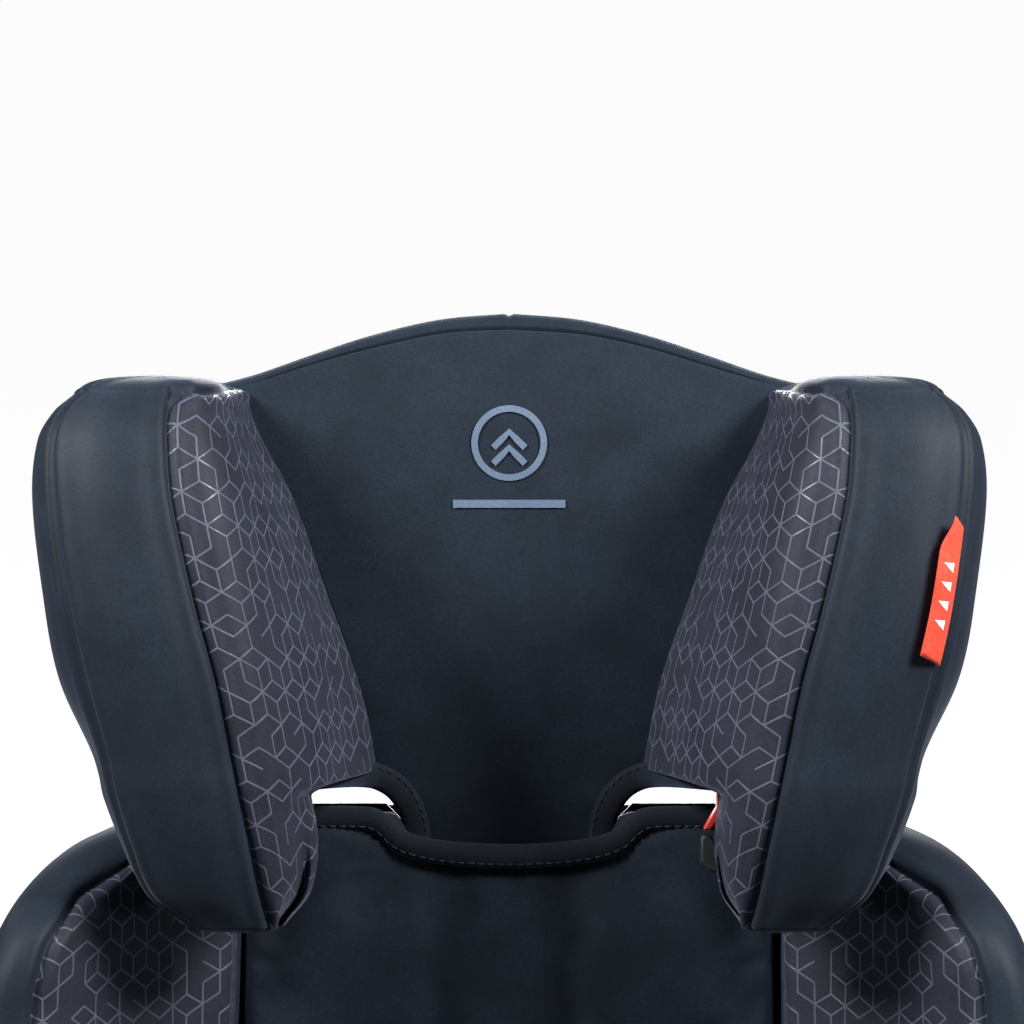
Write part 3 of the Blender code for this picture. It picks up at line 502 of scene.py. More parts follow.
# the frame's triangles are joined, creased and shaded evenly; their shape stays
for entry in frame["record"]["subparts"]:
    cadPiece = bpy.data.objects[entry["node"]]
    cadPiece.data.materials.clear()
    cadPiece.data.materials.append(slotMaterials[entry["material_slot"]])
    cadPiece.data.shade_smooth()
    joined = cadPiece.modifiers.new("joined_corners", "WELD")
    joined.merge_threshold = 0.00001  # metres
    creases = cadPiece.modifiers.new("creases", "EDGE_SPLIT")
    creases.split_angle = math.radians(36)
    evened = cadPiece.modifiers.new("even_shading", "WEIGHTED_NORMAL")
    evened.weight = 80


def padFromNode(name, node, voxel=0.005, smooth=6):
    # closed pad in the place of its plain solid, with an even mesh that cloth can work on
    source = bpy.data.objects[node]
    mesh = source.data.copy()
    mesh.transform(source.matrix_world)
    mesh.materials.clear()
    piece = linkPiece(name, mesh)
    remesh = piece.modifiers.new("even", "REMESH")
    remesh.mode = "VOXEL"
    remesh.voxel_size = voxel
    soften = piece.modifiers.new("soften", "SMOOTH")
    soften.factor, soften.iterations = 0.5, smooth
    piece.data = evaluatedMesh(piece)
    piece.modifiers.clear()
    return piece


def evaluatedMesh(piece):
    return bpy.data.meshes.new_from_object(piece.evaluated_get(bpy.context.evaluated_depsgraph_get()))


def meshPoints(mesh):
    flat = np.zeros(len(mesh.vertices) * 3)
    mesh.vertices.foreach_get("co", flat)
    return flat.reshape(-1, 3)


clothSetup = {"quality": 6, "mass": 0.35, "tension": 12, "shear": 5, "bending": 0.4, "shrink": -0.025,
              "frames": 20}


def blowUp(piece, heldWeight, pressure, cap):
    # air pressure fills the cover between its held seams; no point moves further than cap
    start = meshPoints(piece.data)
    group = piece.vertex_groups.new(name="held")
    for index, weight in enumerate(heldWeight):
        if weight > 0:
            group.add([index], float(weight), "REPLACE")
    cloth = piece.modifiers.new("cloth", "CLOTH")
    setup = cloth.settings
    setup.quality = clothSetup["quality"]
    setup.mass = clothSetup["mass"]
    setup.tension_stiffness = setup.compression_stiffness = clothSetup["tension"]
    setup.shear_stiffness = clothSetup["shear"]
    setup.bending_stiffness = clothSetup["bending"]
    setup.use_pressure = True
    setup.uniform_pressure_force = pressure
    setup.shrink_min = clothSetup["shrink"]  # below zero: cut a little large, so it wrinkles at the corners
    setup.effector_weights.gravity = 0
    setup.vertex_group_mass = "held"
    cloth.collision_settings.use_collision = False
    scene = bpy.context.scene
    for frameNumber in range(1, clothSetup["frames"] + 1):
        scene.frame_set(frameNumber)
    move = meshPoints(evaluatedMesh(piece)) - start
    size = np.linalg.norm(move, axis=1, keepdims=True)
    move *= np.minimum(1, cap / np.maximum(size, 1e-9))
    piece.modifiers.clear()
    piece.data.vertices.foreach_set("co", (start + move).reshape(-1).tolist())
    piece.data.update()
    scene.frame_set(1)


# headrest wings: half widths and depths at heights z, all before the lean back
headShape = {
    "z": (0.335, 0.348, 0.370, 0.390, 0.405, 0.436, 0.470, 0.510, 0.535, 0.547, 0.5540),
    "side": (0.138, 0.151, 0.161, 0.168, 0.172, 0.185, 0.192, 0.197, 0.1952, 0.1890, 0.1815),
    "outerSeam": (0.131, 0.1465, 0.155, 0.161, 0.164, 0.172, 0.179, 0.185, 0.186, 0.1815, 0.1745),
    "innerSeam": (0.098, 0.1010, 0.105, 0.109, 0.112, 0.118, 0.127, 0.136, 0.1385, 0.1385, 0.1375),
    "ridge": (0.0945, 0.0880, 0.087, 0.088, 0.089, 0.095, 0.101, 0.110, 0.117, 0.120, 0.1215),
    "lobe": (0.0925, 0.0825, 0.0795, 0.0825, 0.084, 0.084, 0.084, 0.092, 0.105, 0.110, 0.1115),
    "crease": (0.092, 0.081, 0.0775, 0.0590, 0.0585, 0.065, 0.077, 0.092, 0.105, 0.110, 0.1115),
    "front": (-0.119, -0.128, -0.138, -0.144, -0.146, -0.150, -0.151, -0.147, -0.140, -0.133, -0.126),
    "beltGap": (0.3872, 0.3960),  # heights between which the lobe turns into the full wing
    "rightLobeIn": 0.0055,  # the right lobe is narrower, so its belt gate shows
    "bottomDome": 0.0035, "topDome": 0.0078, "seamDepth": 0.0024, "seamWidth": 0.0013, "printCorner": 0.010,
    "waveSize": 0.00018,
}
crownShape = {"x": (0.0, 0.030, 0.060, 0.0865, 0.104, 0.114, 0.130, 0.149, 0.165, 0.178, 0.186),
              "z": (0.5915, 0.5888, 0.5818, 0.5729, 0.5666, 0.5634, 0.5600, 0.5590, 0.5570, 0.5520, 0.5450)}


def headValue(key, z):
    return smoothTable(headShape["z"], headShape[key], z)


def centreDepth(z):
    return smoothTable((0.355, 0.38, 0.402, 0.45, 0.50, 0.54, 0.562, 0.585),
                       (-0.0370, -0.0385, -0.0400, -0.045, -0.046, -0.043, -0.036, -0.027), z)


def crownHeight(x):
    return smoothTable(crownShape["x"], crownShape["z"], np.abs(x))


def seamDrop(x):
    return smoothTable((0.0, 0.06, 0.114), (0.0072, 0.0060, 0.0035), np.abs(x))


def shrinkingEnd(row, height, steps):
    # a closed end: the section shrinks on a shallow dome
    middle = row.mean(axis=0)
    out = []
    for k in range(1, steps + 1):
        turn = 0.5 * math.pi * k / (steps + 0.3)
        ring = middle + (row - middle) * math.cos(turn)
        ring[:, 2] = row[:, 2] + height * math.sin(turn)
        out.append(ring)
    return np.stack(out)


def headWing(side):
    # one ring of points for each height: from the crease forward, round the front, back along the side
    gapLow, gapHigh = headShape["beltGap"]
    levels = np.concatenate([np.linspace(0.335, gapLow - 0.0012, 40), np.linspace(gapLow, gapHigh, 14),
                             np.linspace(gapHigh + 0.0015, 0.5540, 106)])
    s, o, b, r, f = (headValue(key, levels) for key in ("side", "outerSeam", "innerSeam", "ridge", "front"))
    full = easeStep(gapLow, gapHigh, levels)
    lobe = headValue("lobe", levels) + (headShape["rightLobeIn"] if side > 0 else 0.0)
    c = lobe * (1 - full) + headValue("crease", levels) * full
    root = -0.0975 * (1 - full) + centreDepth(levels) * full
    wall = r - c

    def mixed(low, high):
        return low * (1 - full) + high * full
    knots = np.stack([np.stack(pair, axis=1) for pair in (
        (c, root),
        (c + 0.25 * wall, mixed(-0.108, root + 0.36 * (f + 0.020 - root))),
        (c + 0.62 * wall, mixed(f + 0.027, root + 0.78 * (f + 0.020 - root))),
        (r + 0.003, f + 0.011),
        (0.55 * r + 0.45 * b, f + 0.003),
        (b, f),
        (b + 0.33 * (o - b), f - 0.0050),
        (b + 0.70 * (o - b), f - 0.0035),
        (o, f + 0.0055),
        (s - 0.0035, f + 0.0175),
        (s, mixed(f + 0.030, f + 0.040)),
        (s - mixed(0.003, 0.0015), mixed(-0.1035, -0.062)),
        (s - mixed(0.008, 0.0055), mixed(-0.0965, -0.026)),
        (s - mixed(0.016, 0.0240), mixed(-0.0940, -0.0065)),
        (mixed(0.5 * (s + c), s - 0.055), mixed(-0.0935, 0.001)),
        (c + mixed(0.010, 0.030), mixed(-0.0940, 0.0)),
        (c + mixed(0.003, 0.004), mixed(-0.0955, -0.020)),
    )], axis=1)
    counts = [14, 16, 16, 8, 10, 12, 12, 12, 8, 8, 10, 10, 8, 8, 6, 6, 5]
    inner, outer = sum(counts[:5]), sum(counts[:8])
    flat = throughKnots(knots, counts)
    grid = np.concatenate([flat, np.broadcast_to(levels[:, None, None], flat.shape[:2] + (1,))], axis=2)
    bottom = shrinkingEnd(grid[0], -headShape["bottomDome"], 6)[::-1]
    top = shrinkingEnd(grid[-1], headShape["topDome"], 12)
    grid = np.concatenate([bottom, grid, top], axis=0)
    steps = np.linalg.norm(np.diff(grid, axis=1), axis=2)
    run = np.concatenate([np.zeros((len(grid), 1)), np.cumsum(steps, axis=1)], axis=1)
    run = run - run[:, inner][:, None]
    height = np.broadcast_to(grid[:, inner, 2][:, None], run.shape)
    uv = np.stack([run + 0.3, height], axis=2)
    # the printed panel: inside the inner seam, rounded over at the top
    topSeam = 0.5548 + 0.0040 * easeStep(-0.12, -0.045, grid[:, :, 1])
    ahead = np.arange(grid.shape[1]) <= outer + 30
    away = signedCorner(-run, topSeam - grid[:, :, 2], headShape["printCorner"])
    away = np.where(ahead[None], away, -0.05)
    normal = gridNormals(grid, True)
    pull = groove(away, headShape["seamDepth"], headShape["seamWidth"])
    pull = pull + groove(run - run[:, outer][:, None], headShape["seamDepth"], headShape["seamWidth"])
    pull = pull + waves(7 if side > 0 else 3, headShape["waveSize"], 25, 90, run, grid[:, :, 2])
    fade = np.ones((len(grid), 1))
    fade[:7, 0] = np.linspace(0, 1, 7)
    fade[-8:, 0] = np.linspace(1, 0, 8)
    grid = grid - normal * (pull * fade)[:, :, None]
    seam = grid[6:-12, outer].copy()
    if side < 0:
        grid = (grid * np.array([-1, 1, 1]))[:, ::-1]
        uv, away = uv[:, ::-1], away[:, ::-1]
    name = "head_wing_cover_" + ("R" if side > 0 else "L")
    piece = pieceFromGrid(name, leaned(grid), printKnit, uv, closed=True, capped=True)
    addField(piece, "printed", np.clip(0.5 + away / 0.002, 0, 1))
    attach(piece, "headrest")
    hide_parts("headrest_wing_pad_" + name[-1])
    return seam


outerSeams = {side: headWing(side) for side in (-1, 1)}


# headrest centre: its half width at heights z
centreShape = {
    "z": (0.3600, 0.368, 0.376, 0.383, 0.3875, 0.390, 0.402, 0.436, 0.470, 0.510, 0.535, 0.549, 0.5565),
    "half": (0.0375, 0.0385, 0.0405, 0.0450, 0.0520, 0.0570, 0.0590, 0.066, 0.078, 0.093, 0.107,
             0.1135, 0.1170),
    "neckTop": 0.402, "crownFoot": 0.556, "hollow": 0.0035, "foam": 0.006, "seamPull": 0.0015,
    "waveSize": 0.00025,
}


def centreSurface(x, z, reach):
    return centreDepth(z) + centreShape["hollow"] * np.cos(0.5 * np.pi * np.clip(x / reach, -1, 1)) ** 2


def foamBehind(piece, thickness):
    thick = piece.modifiers.new("foam", "SOLIDIFY")
    thick.thickness = thickness
    thick.offset = -1


def headCentre():
    # recessed plain panel with the neck that goes down behind the backrest's top edge
    share = np.linspace(-1, 1, 121)
    neckTop, crownFoot = centreShape["neckTop"], centreShape["crownFoot"]
    levels = np.concatenate([np.linspace(0.3600, neckTop, 30), np.linspace(neckTop + 0.0015, crownFoot, 90)])
    reach = smoothTable(centreShape["z"], centreShape["half"], levels)
    x = share[None] * reach[:, None]
    z = np.broadcast_to(levels[:, None], x.shape)
    rows = [np.stack([x, centreSurface(x, z, reach[:, None]), z], axis=2)]
    lastX = x[-1]
    seamZ = crownHeight(lastX) - seamDrop(lastX)
    rise = np.linspace(0, 1, 22)[1:, None]
    z = crownFoot + (seamZ - crownFoot)[None] * rise
    x = np.broadcast_to(lastX, z.shape)
    rows.append(np.stack([x, centreSurface(x, z, reach[-1]), z], axis=2))
    grid = np.concatenate(rows)
    up = np.cumsum(np.linalg.norm(np.diff(grid, axis=0, prepend=grid[:1]), axis=2), axis=0)
    normal = gridNormals(grid, False)
    pull = centreShape["seamPull"] * np.exp(-((up[-1] - up) / 0.0016) ** 2)
    pull = pull + waves(5, centreShape["waveSize"], 30, 110, grid[:, :, 0], grid[:, :, 2])
    grid = grid - normal * pull[:, :, None]
    piece = pieceFromGrid("head_centre_cover", leaned(grid), navyKnit)
    foamBehind(piece, centreShape["foam"])
    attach(piece, "headrest")
    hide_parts("headrest_pad_center")
    return grid[-1]


crownSeam = headCentre()

# crown gusset: its hem's depth at half widths x; corner is where it leaves the centre's seam for the wings
bandShape = {
    "x": (0, 0.08, 0.12, 0.150, 0.170, 0.186),
    "hem": (0.0215, 0.0212, 0.0175, 0.0080, -0.006, -0.030),
    "corner": (0.1120, 0.1260), "turn": 0.90, "foam": 0.003, "seamPull": 0.0013, "middlePull": 0.0011,
}


def crownBand():
    # the strip that rolls over the crown and hems onto the shell's rear edge
    x = np.linspace(-0.186, 0.186, 187)
    wide = np.abs(x)
    over = easeStep(*bandShape["corner"], wide)
    startY = np.interp(x, crownSeam[:, 0], crownSeam[:, 1]) * (1 - over) - 0.032 * over
    startZ = np.interp(x, crownSeam[:, 0], crownSeam[:, 2]) * (1 - over) + (crownHeight(x) - 0.0065) * over
    hemY = smoothTable(bandShape["x"], bandShape["hem"], wide)
    rise = crownHeight(x)
    rows = []
    for t in np.linspace(0, 1, 42):
        turn = t * math.pi * bandShape["turn"]
        y = startY + (hemY - startY) * (1 - math.cos(turn)) / (1 - math.cos(math.pi * bandShape["turn"]))
        lift = math.sin(min(turn, math.pi / 2)) ** 0.8
        drop = 0.0 if turn < math.pi / 2 else 0.017 * (1 - math.sin(turn))
        rows.append(np.stack([x, y, startZ + (rise - startZ) * lift - drop], axis=1))
    grid = np.stack(rows)
    up = np.cumsum(np.linalg.norm(np.diff(grid, axis=0, prepend=grid[:1]), axis=2), axis=0)
    normal = gridNormals(grid, False)
    middle = np.exp(-(grid[:, :, 0] / 0.0011) ** 2) * easeStep(0, 0.004, up)  # the short seam at the peak
    pull = bandShape["seamPull"] * np.exp(-(up / 0.0016) ** 2) + bandShape["middlePull"] * middle
    grid = grid - normal * (pull * (wide < 0.108)[None])[:, :, None]
    tucked = grid[:1] + np.array([0, 0.0045, -0.0060])  # seam allowance behind the centre cover
    grid = np.concatenate([tucked, grid])
    piece = pieceFromGrid("head_crown_band", leaned(grid), navyKnit)
    foamBehind(piece, bandShape["foam"])
    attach(piece, "headrest")
    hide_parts("headrest_crown_pad")
    hem = grid[-3] + np.array([0, 0.0004, 0.003])
    row = stitchRow("head_hem_stitches", leaned(hem), threadNylon, facing=(0, 1, 0))
    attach(row, "headrest")


crownBand()


headTape = {
    "wide": 0.0112, "thick": 0.0036,
    "route": ((0.0850, -0.1010, 0.3950), (0.0790, -0.0905, 0.3950), (0.0705, -0.0690, 0.3945),
              (0.0625, -0.0500, 0.3935), (0.0560, -0.0430, 0.3920), (0.0495, -0.0420, 0.3885),
              (0.0445, -0.0415, 0.3830), (0.0410, -0.0405, 0.3755), (0.0395, -0.0395, 0.3680),
              (0.0388, -0.0390, 0.3615)),
}


def headBinding(side):
    # woven tape round the lower edge, from the wing's lobe to the neck
    middle = np.array(headTape["route"])
    run = np.concatenate([[0], np.cumsum(np.linalg.norm(np.diff(middle, axis=0), axis=1))])
    at = np.linspace(0, run[-1], 60)
    path = np.stack([smoothTable(run, middle[:, k], at) for k in range(3)], axis=1)
    ahead = np.gradient(path, axis=0)
    ahead /= np.linalg.norm(ahead, axis=1, keepdims=True)
    inward = easeStep(0.045, 0.060, at)[:, None]
    face = np.array([-0.90, -0.42, 0.0]) * (1 - inward) + np.array([0.0, -1.0, 0.0]) * inward
    face = face - ahead * np.sum(face * ahead, axis=1, keepdims=True)
    face /= np.linalg.norm(face, axis=1, keepdims=True)
    flip = np.array([side, 1, 1])
    letter = "R" if side > 0 else "L"
    facing = (face * flip) @ leanArray[:3, :3].T
    tape = tapeAlong("head_binding_" + letter, leaned(path * flip), tapeCloth, headTape["wide"],
                     headTape["thick"], facing=facing)
    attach(tape, "headrest")
    across = np.cross(ahead, face)
    across *= np.sign(across[:, 2:3] + 1e-6)
    edge = (path + across * 0.0040 + face * 0.0013) * flip
    row = stitchRow("head_binding_stitches_" + letter, leaned(edge), threadNylon, facing=facing)
    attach(row, "headrest")


for hand in (-1, 1):
    headBinding(hand)


markShape = {"middle": 0.5345, "radius": 0.0148, "line": 0.0028, "step": 0.0034, "chevrons": (0.5325, 0.5257),
             "barZ": 0.5085, "barHalf": 0.024, "barLine": 0.0034}


def headMark():
    # plain printed mark: a ring round two chevrons, over a short bar
    verts, faces = [], []

    def strip(points, width):
        points = np.asarray(points, float)
        ahead = np.gradient(points, axis=0)
        ahead /= np.linalg.norm(ahead, axis=1, keepdims=True)
        across = np.stack([-ahead[:, 1], ahead[:, 0]], axis=1) * width / 2
        first = len(verts)
        for p, a in zip(points, across):
            for q in (p - a, p + a):
                depth = centreSurface(q[0], q[1], smoothTable((0.436, 0.470, 0.510, 0.535),
                                                              (0.066, 0.078, 0.093, 0.106), q[1]))
                verts.append((q[0], float(depth) - 0.0007, q[1]))
        for k in range(len(points) - 1):
            i = first + 2 * k
            faces.append((i, i + 2, i + 3, i + 1))
    turn = np.linspace(0, 2 * np.pi, 73)
    radius, step = markShape["radius"], markShape["step"]
    ring = np.stack([radius * np.cos(turn), markShape["middle"] + radius * np.sin(turn)], axis=1)
    strip(ring, markShape["line"])
    for foot in markShape["chevrons"]:
        strip([(step * k, foot + step * (2 - abs(k))) for k in range(-2, 3)], markShape["line"])
    bar = np.linspace(-markShape["barHalf"], markShape["barHalf"], 25)
    strip(np.stack([bar, np.full(25, markShape["barZ"])], axis=1), markShape["barLine"])
    piece = pieceFromLists("head_mark", leaned(verts).tolist(), faces, greyInk)
    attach(piece, "headrest")


headMark()


labelShape = {"top": 0.4985, "bottom": 0.4425, "rows": 30, "root": (0.0022, -0.0022, 0.0),
              "marks": (8, 12, 16, 20)}


def labelTag():
    # folded red ribbon sewn into the right wing's outer seam
    seam = outerSeams[1]
    levels = np.linspace(labelShape["top"], labelShape["bottom"], labelShape["rows"])
    root = np.stack([np.interp(levels, seam[:, 2], seam[:, k]) for k in range(3)], axis=1)
    t = np.linspace(0, 1, labelShape["rows"])[:, None]
    root = root + np.array(labelShape["root"])
    reach = np.concatenate([-0.0040 - 0.0045 * easeStep(0, 0.25, t), -0.0100 + 0 * t, 0.0048 + 0 * t], axis=1)
    front, back = [], []
    for k in np.linspace(0, 1, 9):
        bow = np.array([0.0, -0.0010, 0.0]) * math.sin(math.pi * k)
        front.append(root + reach * k + bow + np.array([0.0003, -0.0008, 0]))
        back.append(root + reach * k + bow + np.array([0.0, 0.0006, 0]))
    grid = np.stack(front + back[::-1], axis=1)
    piece = pieceFromGrid("label_ribbon", leaned(grid), redTape, closed=True, capped=True)
    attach(piece, "headrest")
    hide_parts("label_tag")
    marks = []
    sheetFront = np.stack(front, axis=1)
    for start in labelShape["marks"]:
        marks.append((sheetFront[start, 2], sheetFront[start + 2, 2], sheetFront[start + 1, 6]))
    verts = leaned(np.array(marks).reshape(-1, 3) + np.array([0, -0.0003, 0])).tolist()
    faces = [(3 * k, 3 * k + 1, 3 * k + 2) for k in range(len(marks))]
    piece = pieceFromLists("label_marks", verts, faces, whiteThread)
    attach(piece, "headrest")


labelTag()
print("headrest cover made")

backShape = {
    "z": (0.034, 0.085, 0.112, 0.137, 0.165, 0.200, 0.250, 0.300, 0.330, 0.350, 0.365, 0.376),
    "half": (0.1485, 0.1525, 0.1625, 0.182, 0.203, 0.217, 0.2205, 0.2195, 0.211, 0.199, 0.182, 0.156),
    "front": (-0.058, -0.059, -0.064, -0.080, -0.108, -0.128, -0.136, -0.136, -0.128, -0.104, -0.082, -0.066),
    "seam": ((0.1180, 0.3760), (0.138, 0.3700), (0.156, 0.3600), (0.1775, 0.3470), (0.1885, 0.3280),
             (0.193, 0.310), (0.1945, 0.290), (0.1945, 0.250), (0.191, 0.200), (0.177, 0.165),
             (0.157, 0.137), (0.1385, 0.112), (0.1295, 0.085), (0.1260, 0.060), (0.1250, 0.020)),
    "tuckZ": (0.034, 0.085, 0.165, 0.30, 0.365, 0.376),
    "tuck": (-0.016, -0.018, -0.040, -0.046, -0.030, -0.022),
    "inner": 0.1152, "band": 0.026, "waveSize": 0.00035,
    "topDome": 0.0055, "bottomDome": 0.004, "seamDepth": 0.0022, "seamWidth": 0.0015,
}


def signedFromCurve(x, z, curve):
    # distance to an open curve drawn from top to bottom; positive on the side of smaller x
    pts = np.asarray(curve, float)
    best = np.full(x.shape, 9.0)
    sign = np.ones(x.shape)
    for a, b in zip(pts[:-1], pts[1:]):
        d = b - a
        t = np.clip(((x - a[0]) * d[0] + (z - a[1]) * d[1]) / (d @ d), 0, 1)
        gap = np.hypot(x - a[0] - t * d[0], z - a[1] - t * d[1])
        turn = (x - a[0]) * d[1] - (z - a[1]) * d[0]
        closer = gap < best
        best = np.where(closer, gap, best)
        sign = np.where(closer, np.where(turn > 0, 1, -1), sign)
    return best * sign


def backWing(side):
    levels = np.concatenate([np.linspace(0.034, 0.14, 50), np.linspace(0.1422, 0.300, 70),
                             np.linspace(0.302, 0.376, 46)])
    h = smoothTable(backShape["z"], backShape["half"], levels)
    f = smoothTable(backShape["z"], backShape["front"], levels)
    start = backShape["inner"]
    spanX = np.maximum(h - backShape["band"] - start, 0.005)
    drop = f + 0.053
    tuck = smoothTable(backShape["tuckZ"], backShape["tuck"], levels)
    knots = np.stack([np.stack([a + 0 * h, b + 0 * h], axis=1) for a, b in (
        (start, -0.0525),
        (start + 0.30 * spanX, -0.053 + 0.16 * drop),
        (start + 0.60 * spanX, -0.053 + 0.50 * drop),
        (start + 0.85 * spanX, -0.053 + 0.85 * drop),
        (start + spanX, f + 0.003),
        (h - 0.013, f - 0.0010),
        (h - 0.0045, f + 0.0050),
        (h, f + 0.0190),
        (h + 0.0004, f + 0.55 * (tuck - f)),
        (h - 0.0005, tuck - 0.008),
        (h - 0.0040, tuck),
        (h - 0.0140, tuck - 0.003),
        (0.5 * (h + start), np.minimum(tuck - 0.012, -0.040)),
        (start + 0.004, -0.0440),
    )], axis=1)
    counts = [12, 14, 14, 10, 10, 8, 10, 14, 14, 6, 6, 8, 8, 5]
    flat = throughKnots(knots, counts)
    grid = np.concatenate([flat, np.broadcast_to(levels[:, None, None], flat.shape[:2] + (1,))], axis=2)
    bottom = shrinkingEnd(grid[0], -backShape["bottomDome"], 6)[::-1]
    top = shrinkingEnd(grid[-1], backShape["topDome"], 10)
    grid = np.concatenate([bottom, grid, top], axis=0)
    steps = np.linalg.norm(np.diff(grid, axis=1), axis=2)
    run = np.concatenate([np.zeros((len(grid), 1)), np.cumsum(steps, axis=1)], axis=1)
    uv = np.stack([run + 0.7, np.broadcast_to(grid[:, 20, 2][:, None], run.shape)], axis=2)
    away = signedFromCurve(grid[:, :, 0], grid[:, :, 2], backShape["seam"])
    ahead = np.arange(grid.shape[1]) <= sum(counts[:7])
    away = np.where(ahead[None], away, -0.05)
    normal = gridNormals(grid, True)
    pull = groove(away, backShape["seamDepth"], backShape["seamWidth"])
    pull = pull + waves(11 if side > 0 else 13, backShape["waveSize"], 25, 110, run, grid[:, :, 2])
    pull = pull + 0.0025 * np.exp(-(run / 0.004) ** 2) * (np.arange(grid.shape[1]) < 40)[None]
    fade = np.ones((len(grid), 1))
    fade[:7, 0] = np.linspace(0, 1, 7)
    fade[-10:, 0] = np.linspace(1, 0, 10)
    grid = grid - normal * (pull * fade)[:, :, None]
    if side < 0:
        grid = (grid * np.array([-1, 1, 1]))[:, ::-1]
        uv, away = uv[:, ::-1], away[:, ::-1]
    name = "back_wing_cover_" + ("R" if side > 0 else "L")
    piece = pieceFromGrid(name, leaned(grid), printKnit, uv, closed=True, capped=True)
    addField(piece, "printed", np.clip(0.5 + away / 0.002, 0, 1))
    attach(piece, "backrest")
    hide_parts("back_wing_pad_" + name[-1])


for hand in (-1, 1):
    backWing(hand)


backPanel = {"voxel": 0.0052, "quilting": (0.150, 0.262), "pressure": 3.0, "cap": 0.0065}


def backCentre():
    # the long plain panel between the wings, blown up between its side seams
    piece = padFromNode("back_centre_cover", "back_pad_center", voxel=backPanel["voxel"], smooth=3)
    inverse = np.linalg.inv(leanArray)
    local = meshPoints(piece.data) @ inverse[:3, :3].T + inverse[:3, 3]
    local[:, 2] -= 0.0045 * easeStep(0.345, 0.375, local[:, 2]) * easeStep(0.046, 0.056, np.abs(local[:, 0]))
    piece.data.vertices.foreach_set("co", leaned(local).reshape(-1).tolist())
    edge = np.minimum(0.1134 - np.abs(local[:, 0]), np.minimum(local[:, 2] - 0.030, 0.382 - local[:, 2]))
    notch = np.hypot(np.maximum(np.abs(local[:, 0]) - 0.045, 0), np.maximum(0.358 - local[:, 2], 0))
    edge = np.minimum(edge, notch)
    held = np.where((local[:, 1] > -0.045) | (edge < 0.006), 1.0, 0.0)
    for line in backPanel["quilting"]:
        held = np.maximum(held, np.exp(-((local[:, 2] - line) / 0.0035) ** 2) * 0.9)
    blowUp(piece, held, pressure=backPanel["pressure"], cap=backPanel["cap"])
    smoothOnce = piece.modifiers.new("fine", "SUBSURF")
    smoothOnce.levels = smoothOnce.render_levels = 1
    piece.data.materials.append(navyKnit)
    piece.data.shade_smooth()
    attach(piece, "backrest")
    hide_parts("back_pad_center")


backCentre()


backTape = {"wide": 0.0105, "thick": 0.0060}


def backBinding():
    # woven tape along the panel's top edge, dipping in a shallow curve where the neck passes behind
    half = [(0.1125, 0.3745), (0.0900, 0.3750), (0.0660, 0.3750), (0.0575, 0.3742), (0.0520, 0.3705),
            (0.0475, 0.3660), (0.0400, 0.3630), (0.0280, 0.3606), (0.0140, 0.3595), (0.0, 0.3591)]
    points = np.array(half + [(-x, z) for x, z in reversed(half[:-1])])
    run = np.concatenate([[0], np.cumsum(np.linalg.norm(np.diff(points, axis=0), axis=1))])
    at = np.linspace(0, run[-1], 130)
    x, z = (smoothTable(run, points[:, k], at) for k in range(2))
    y = -0.0530 - 0.0030 * np.exp(-(x / 0.06) ** 4)
    path = np.stack([x, y, z], axis=1)
    tape = tapeAlong("back_binding", leaned(path), tapeCloth, backTape["wide"], backTape["thick"])
    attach(tape, "backrest")
    ahead = np.gradient(path, axis=0)
    ahead /= np.linalg.norm(ahead, axis=1, keepdims=True)
    below = np.stack([ahead[:, 2], 0 * x, -ahead[:, 0]], axis=1)
    below *= -np.sign(below[:, 2:3] + 1e-6)
    edge = path + below * 0.0034 + np.array([0, -0.0023, 0])
    row = stitchRow("back_binding_stitches", leaned(edge), threadNylon)
    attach(row, "backrest")


backBinding()
print("backrest cover made")


seatCover = {"voxel": 0.0052, "seamX": 0.100, "seamY": -0.060, "seamWide": 0.0035, "pressure": 4.0,
             "cap": 0.0055}


def seatPad():
    # crowned seat cushion: plain middle, printed sides
    piece = padFromNode("seat_cushion_cover", "seat_cushion", voxel=seatCover["voxel"], smooth=4)
    points = meshPoints(piece.data)
    low, high = points.min(axis=0), points.max(axis=0)
    wide, crossing = np.abs(points[:, 0]), points[:, 1] - seatCover["seamY"]
    sideSeam = np.exp(-((wide - seatCover["seamX"]) / seatCover["seamWide"]) ** 2)
    crossSeam = np.exp(-(crossing / seatCover["seamWide"]) ** 2) * (wide < seatCover["seamX"])
    held = np.where(points[:, 2] < low[2] + 0.012, 1.0, 0.0)
    held = np.maximum(held, 0.95 * sideSeam * (points[:, 2] > low[2] + 0.014))
    held = np.maximum(held, 0.9 * crossSeam)
    blowUp(piece, held, pressure=seatCover["pressure"], cap=seatCover["cap"])
    points = meshPoints(piece.data)
    printed = np.clip(0.5 + (np.abs(points[:, 0]) - seatCover["seamX"]) / 0.002, 0, 1)
    addField(piece, "printed", printed)
    addClothMap(piece, points[:, :2])
    fine = piece.modifiers.new("fine", "SUBSURF")
    fine.levels = fine.render_levels = 1
    piece.data.materials.clear()
    piece.data.materials.append(printKnit)
    piece.data.shade_smooth()
    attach(piece, "seat_base")
    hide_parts("seat_cushion")


seatPad()


armCover = {"voxel": 0.0042, "heldHeight": 0.007, "pressure": 3.0, "cap": 0.003}


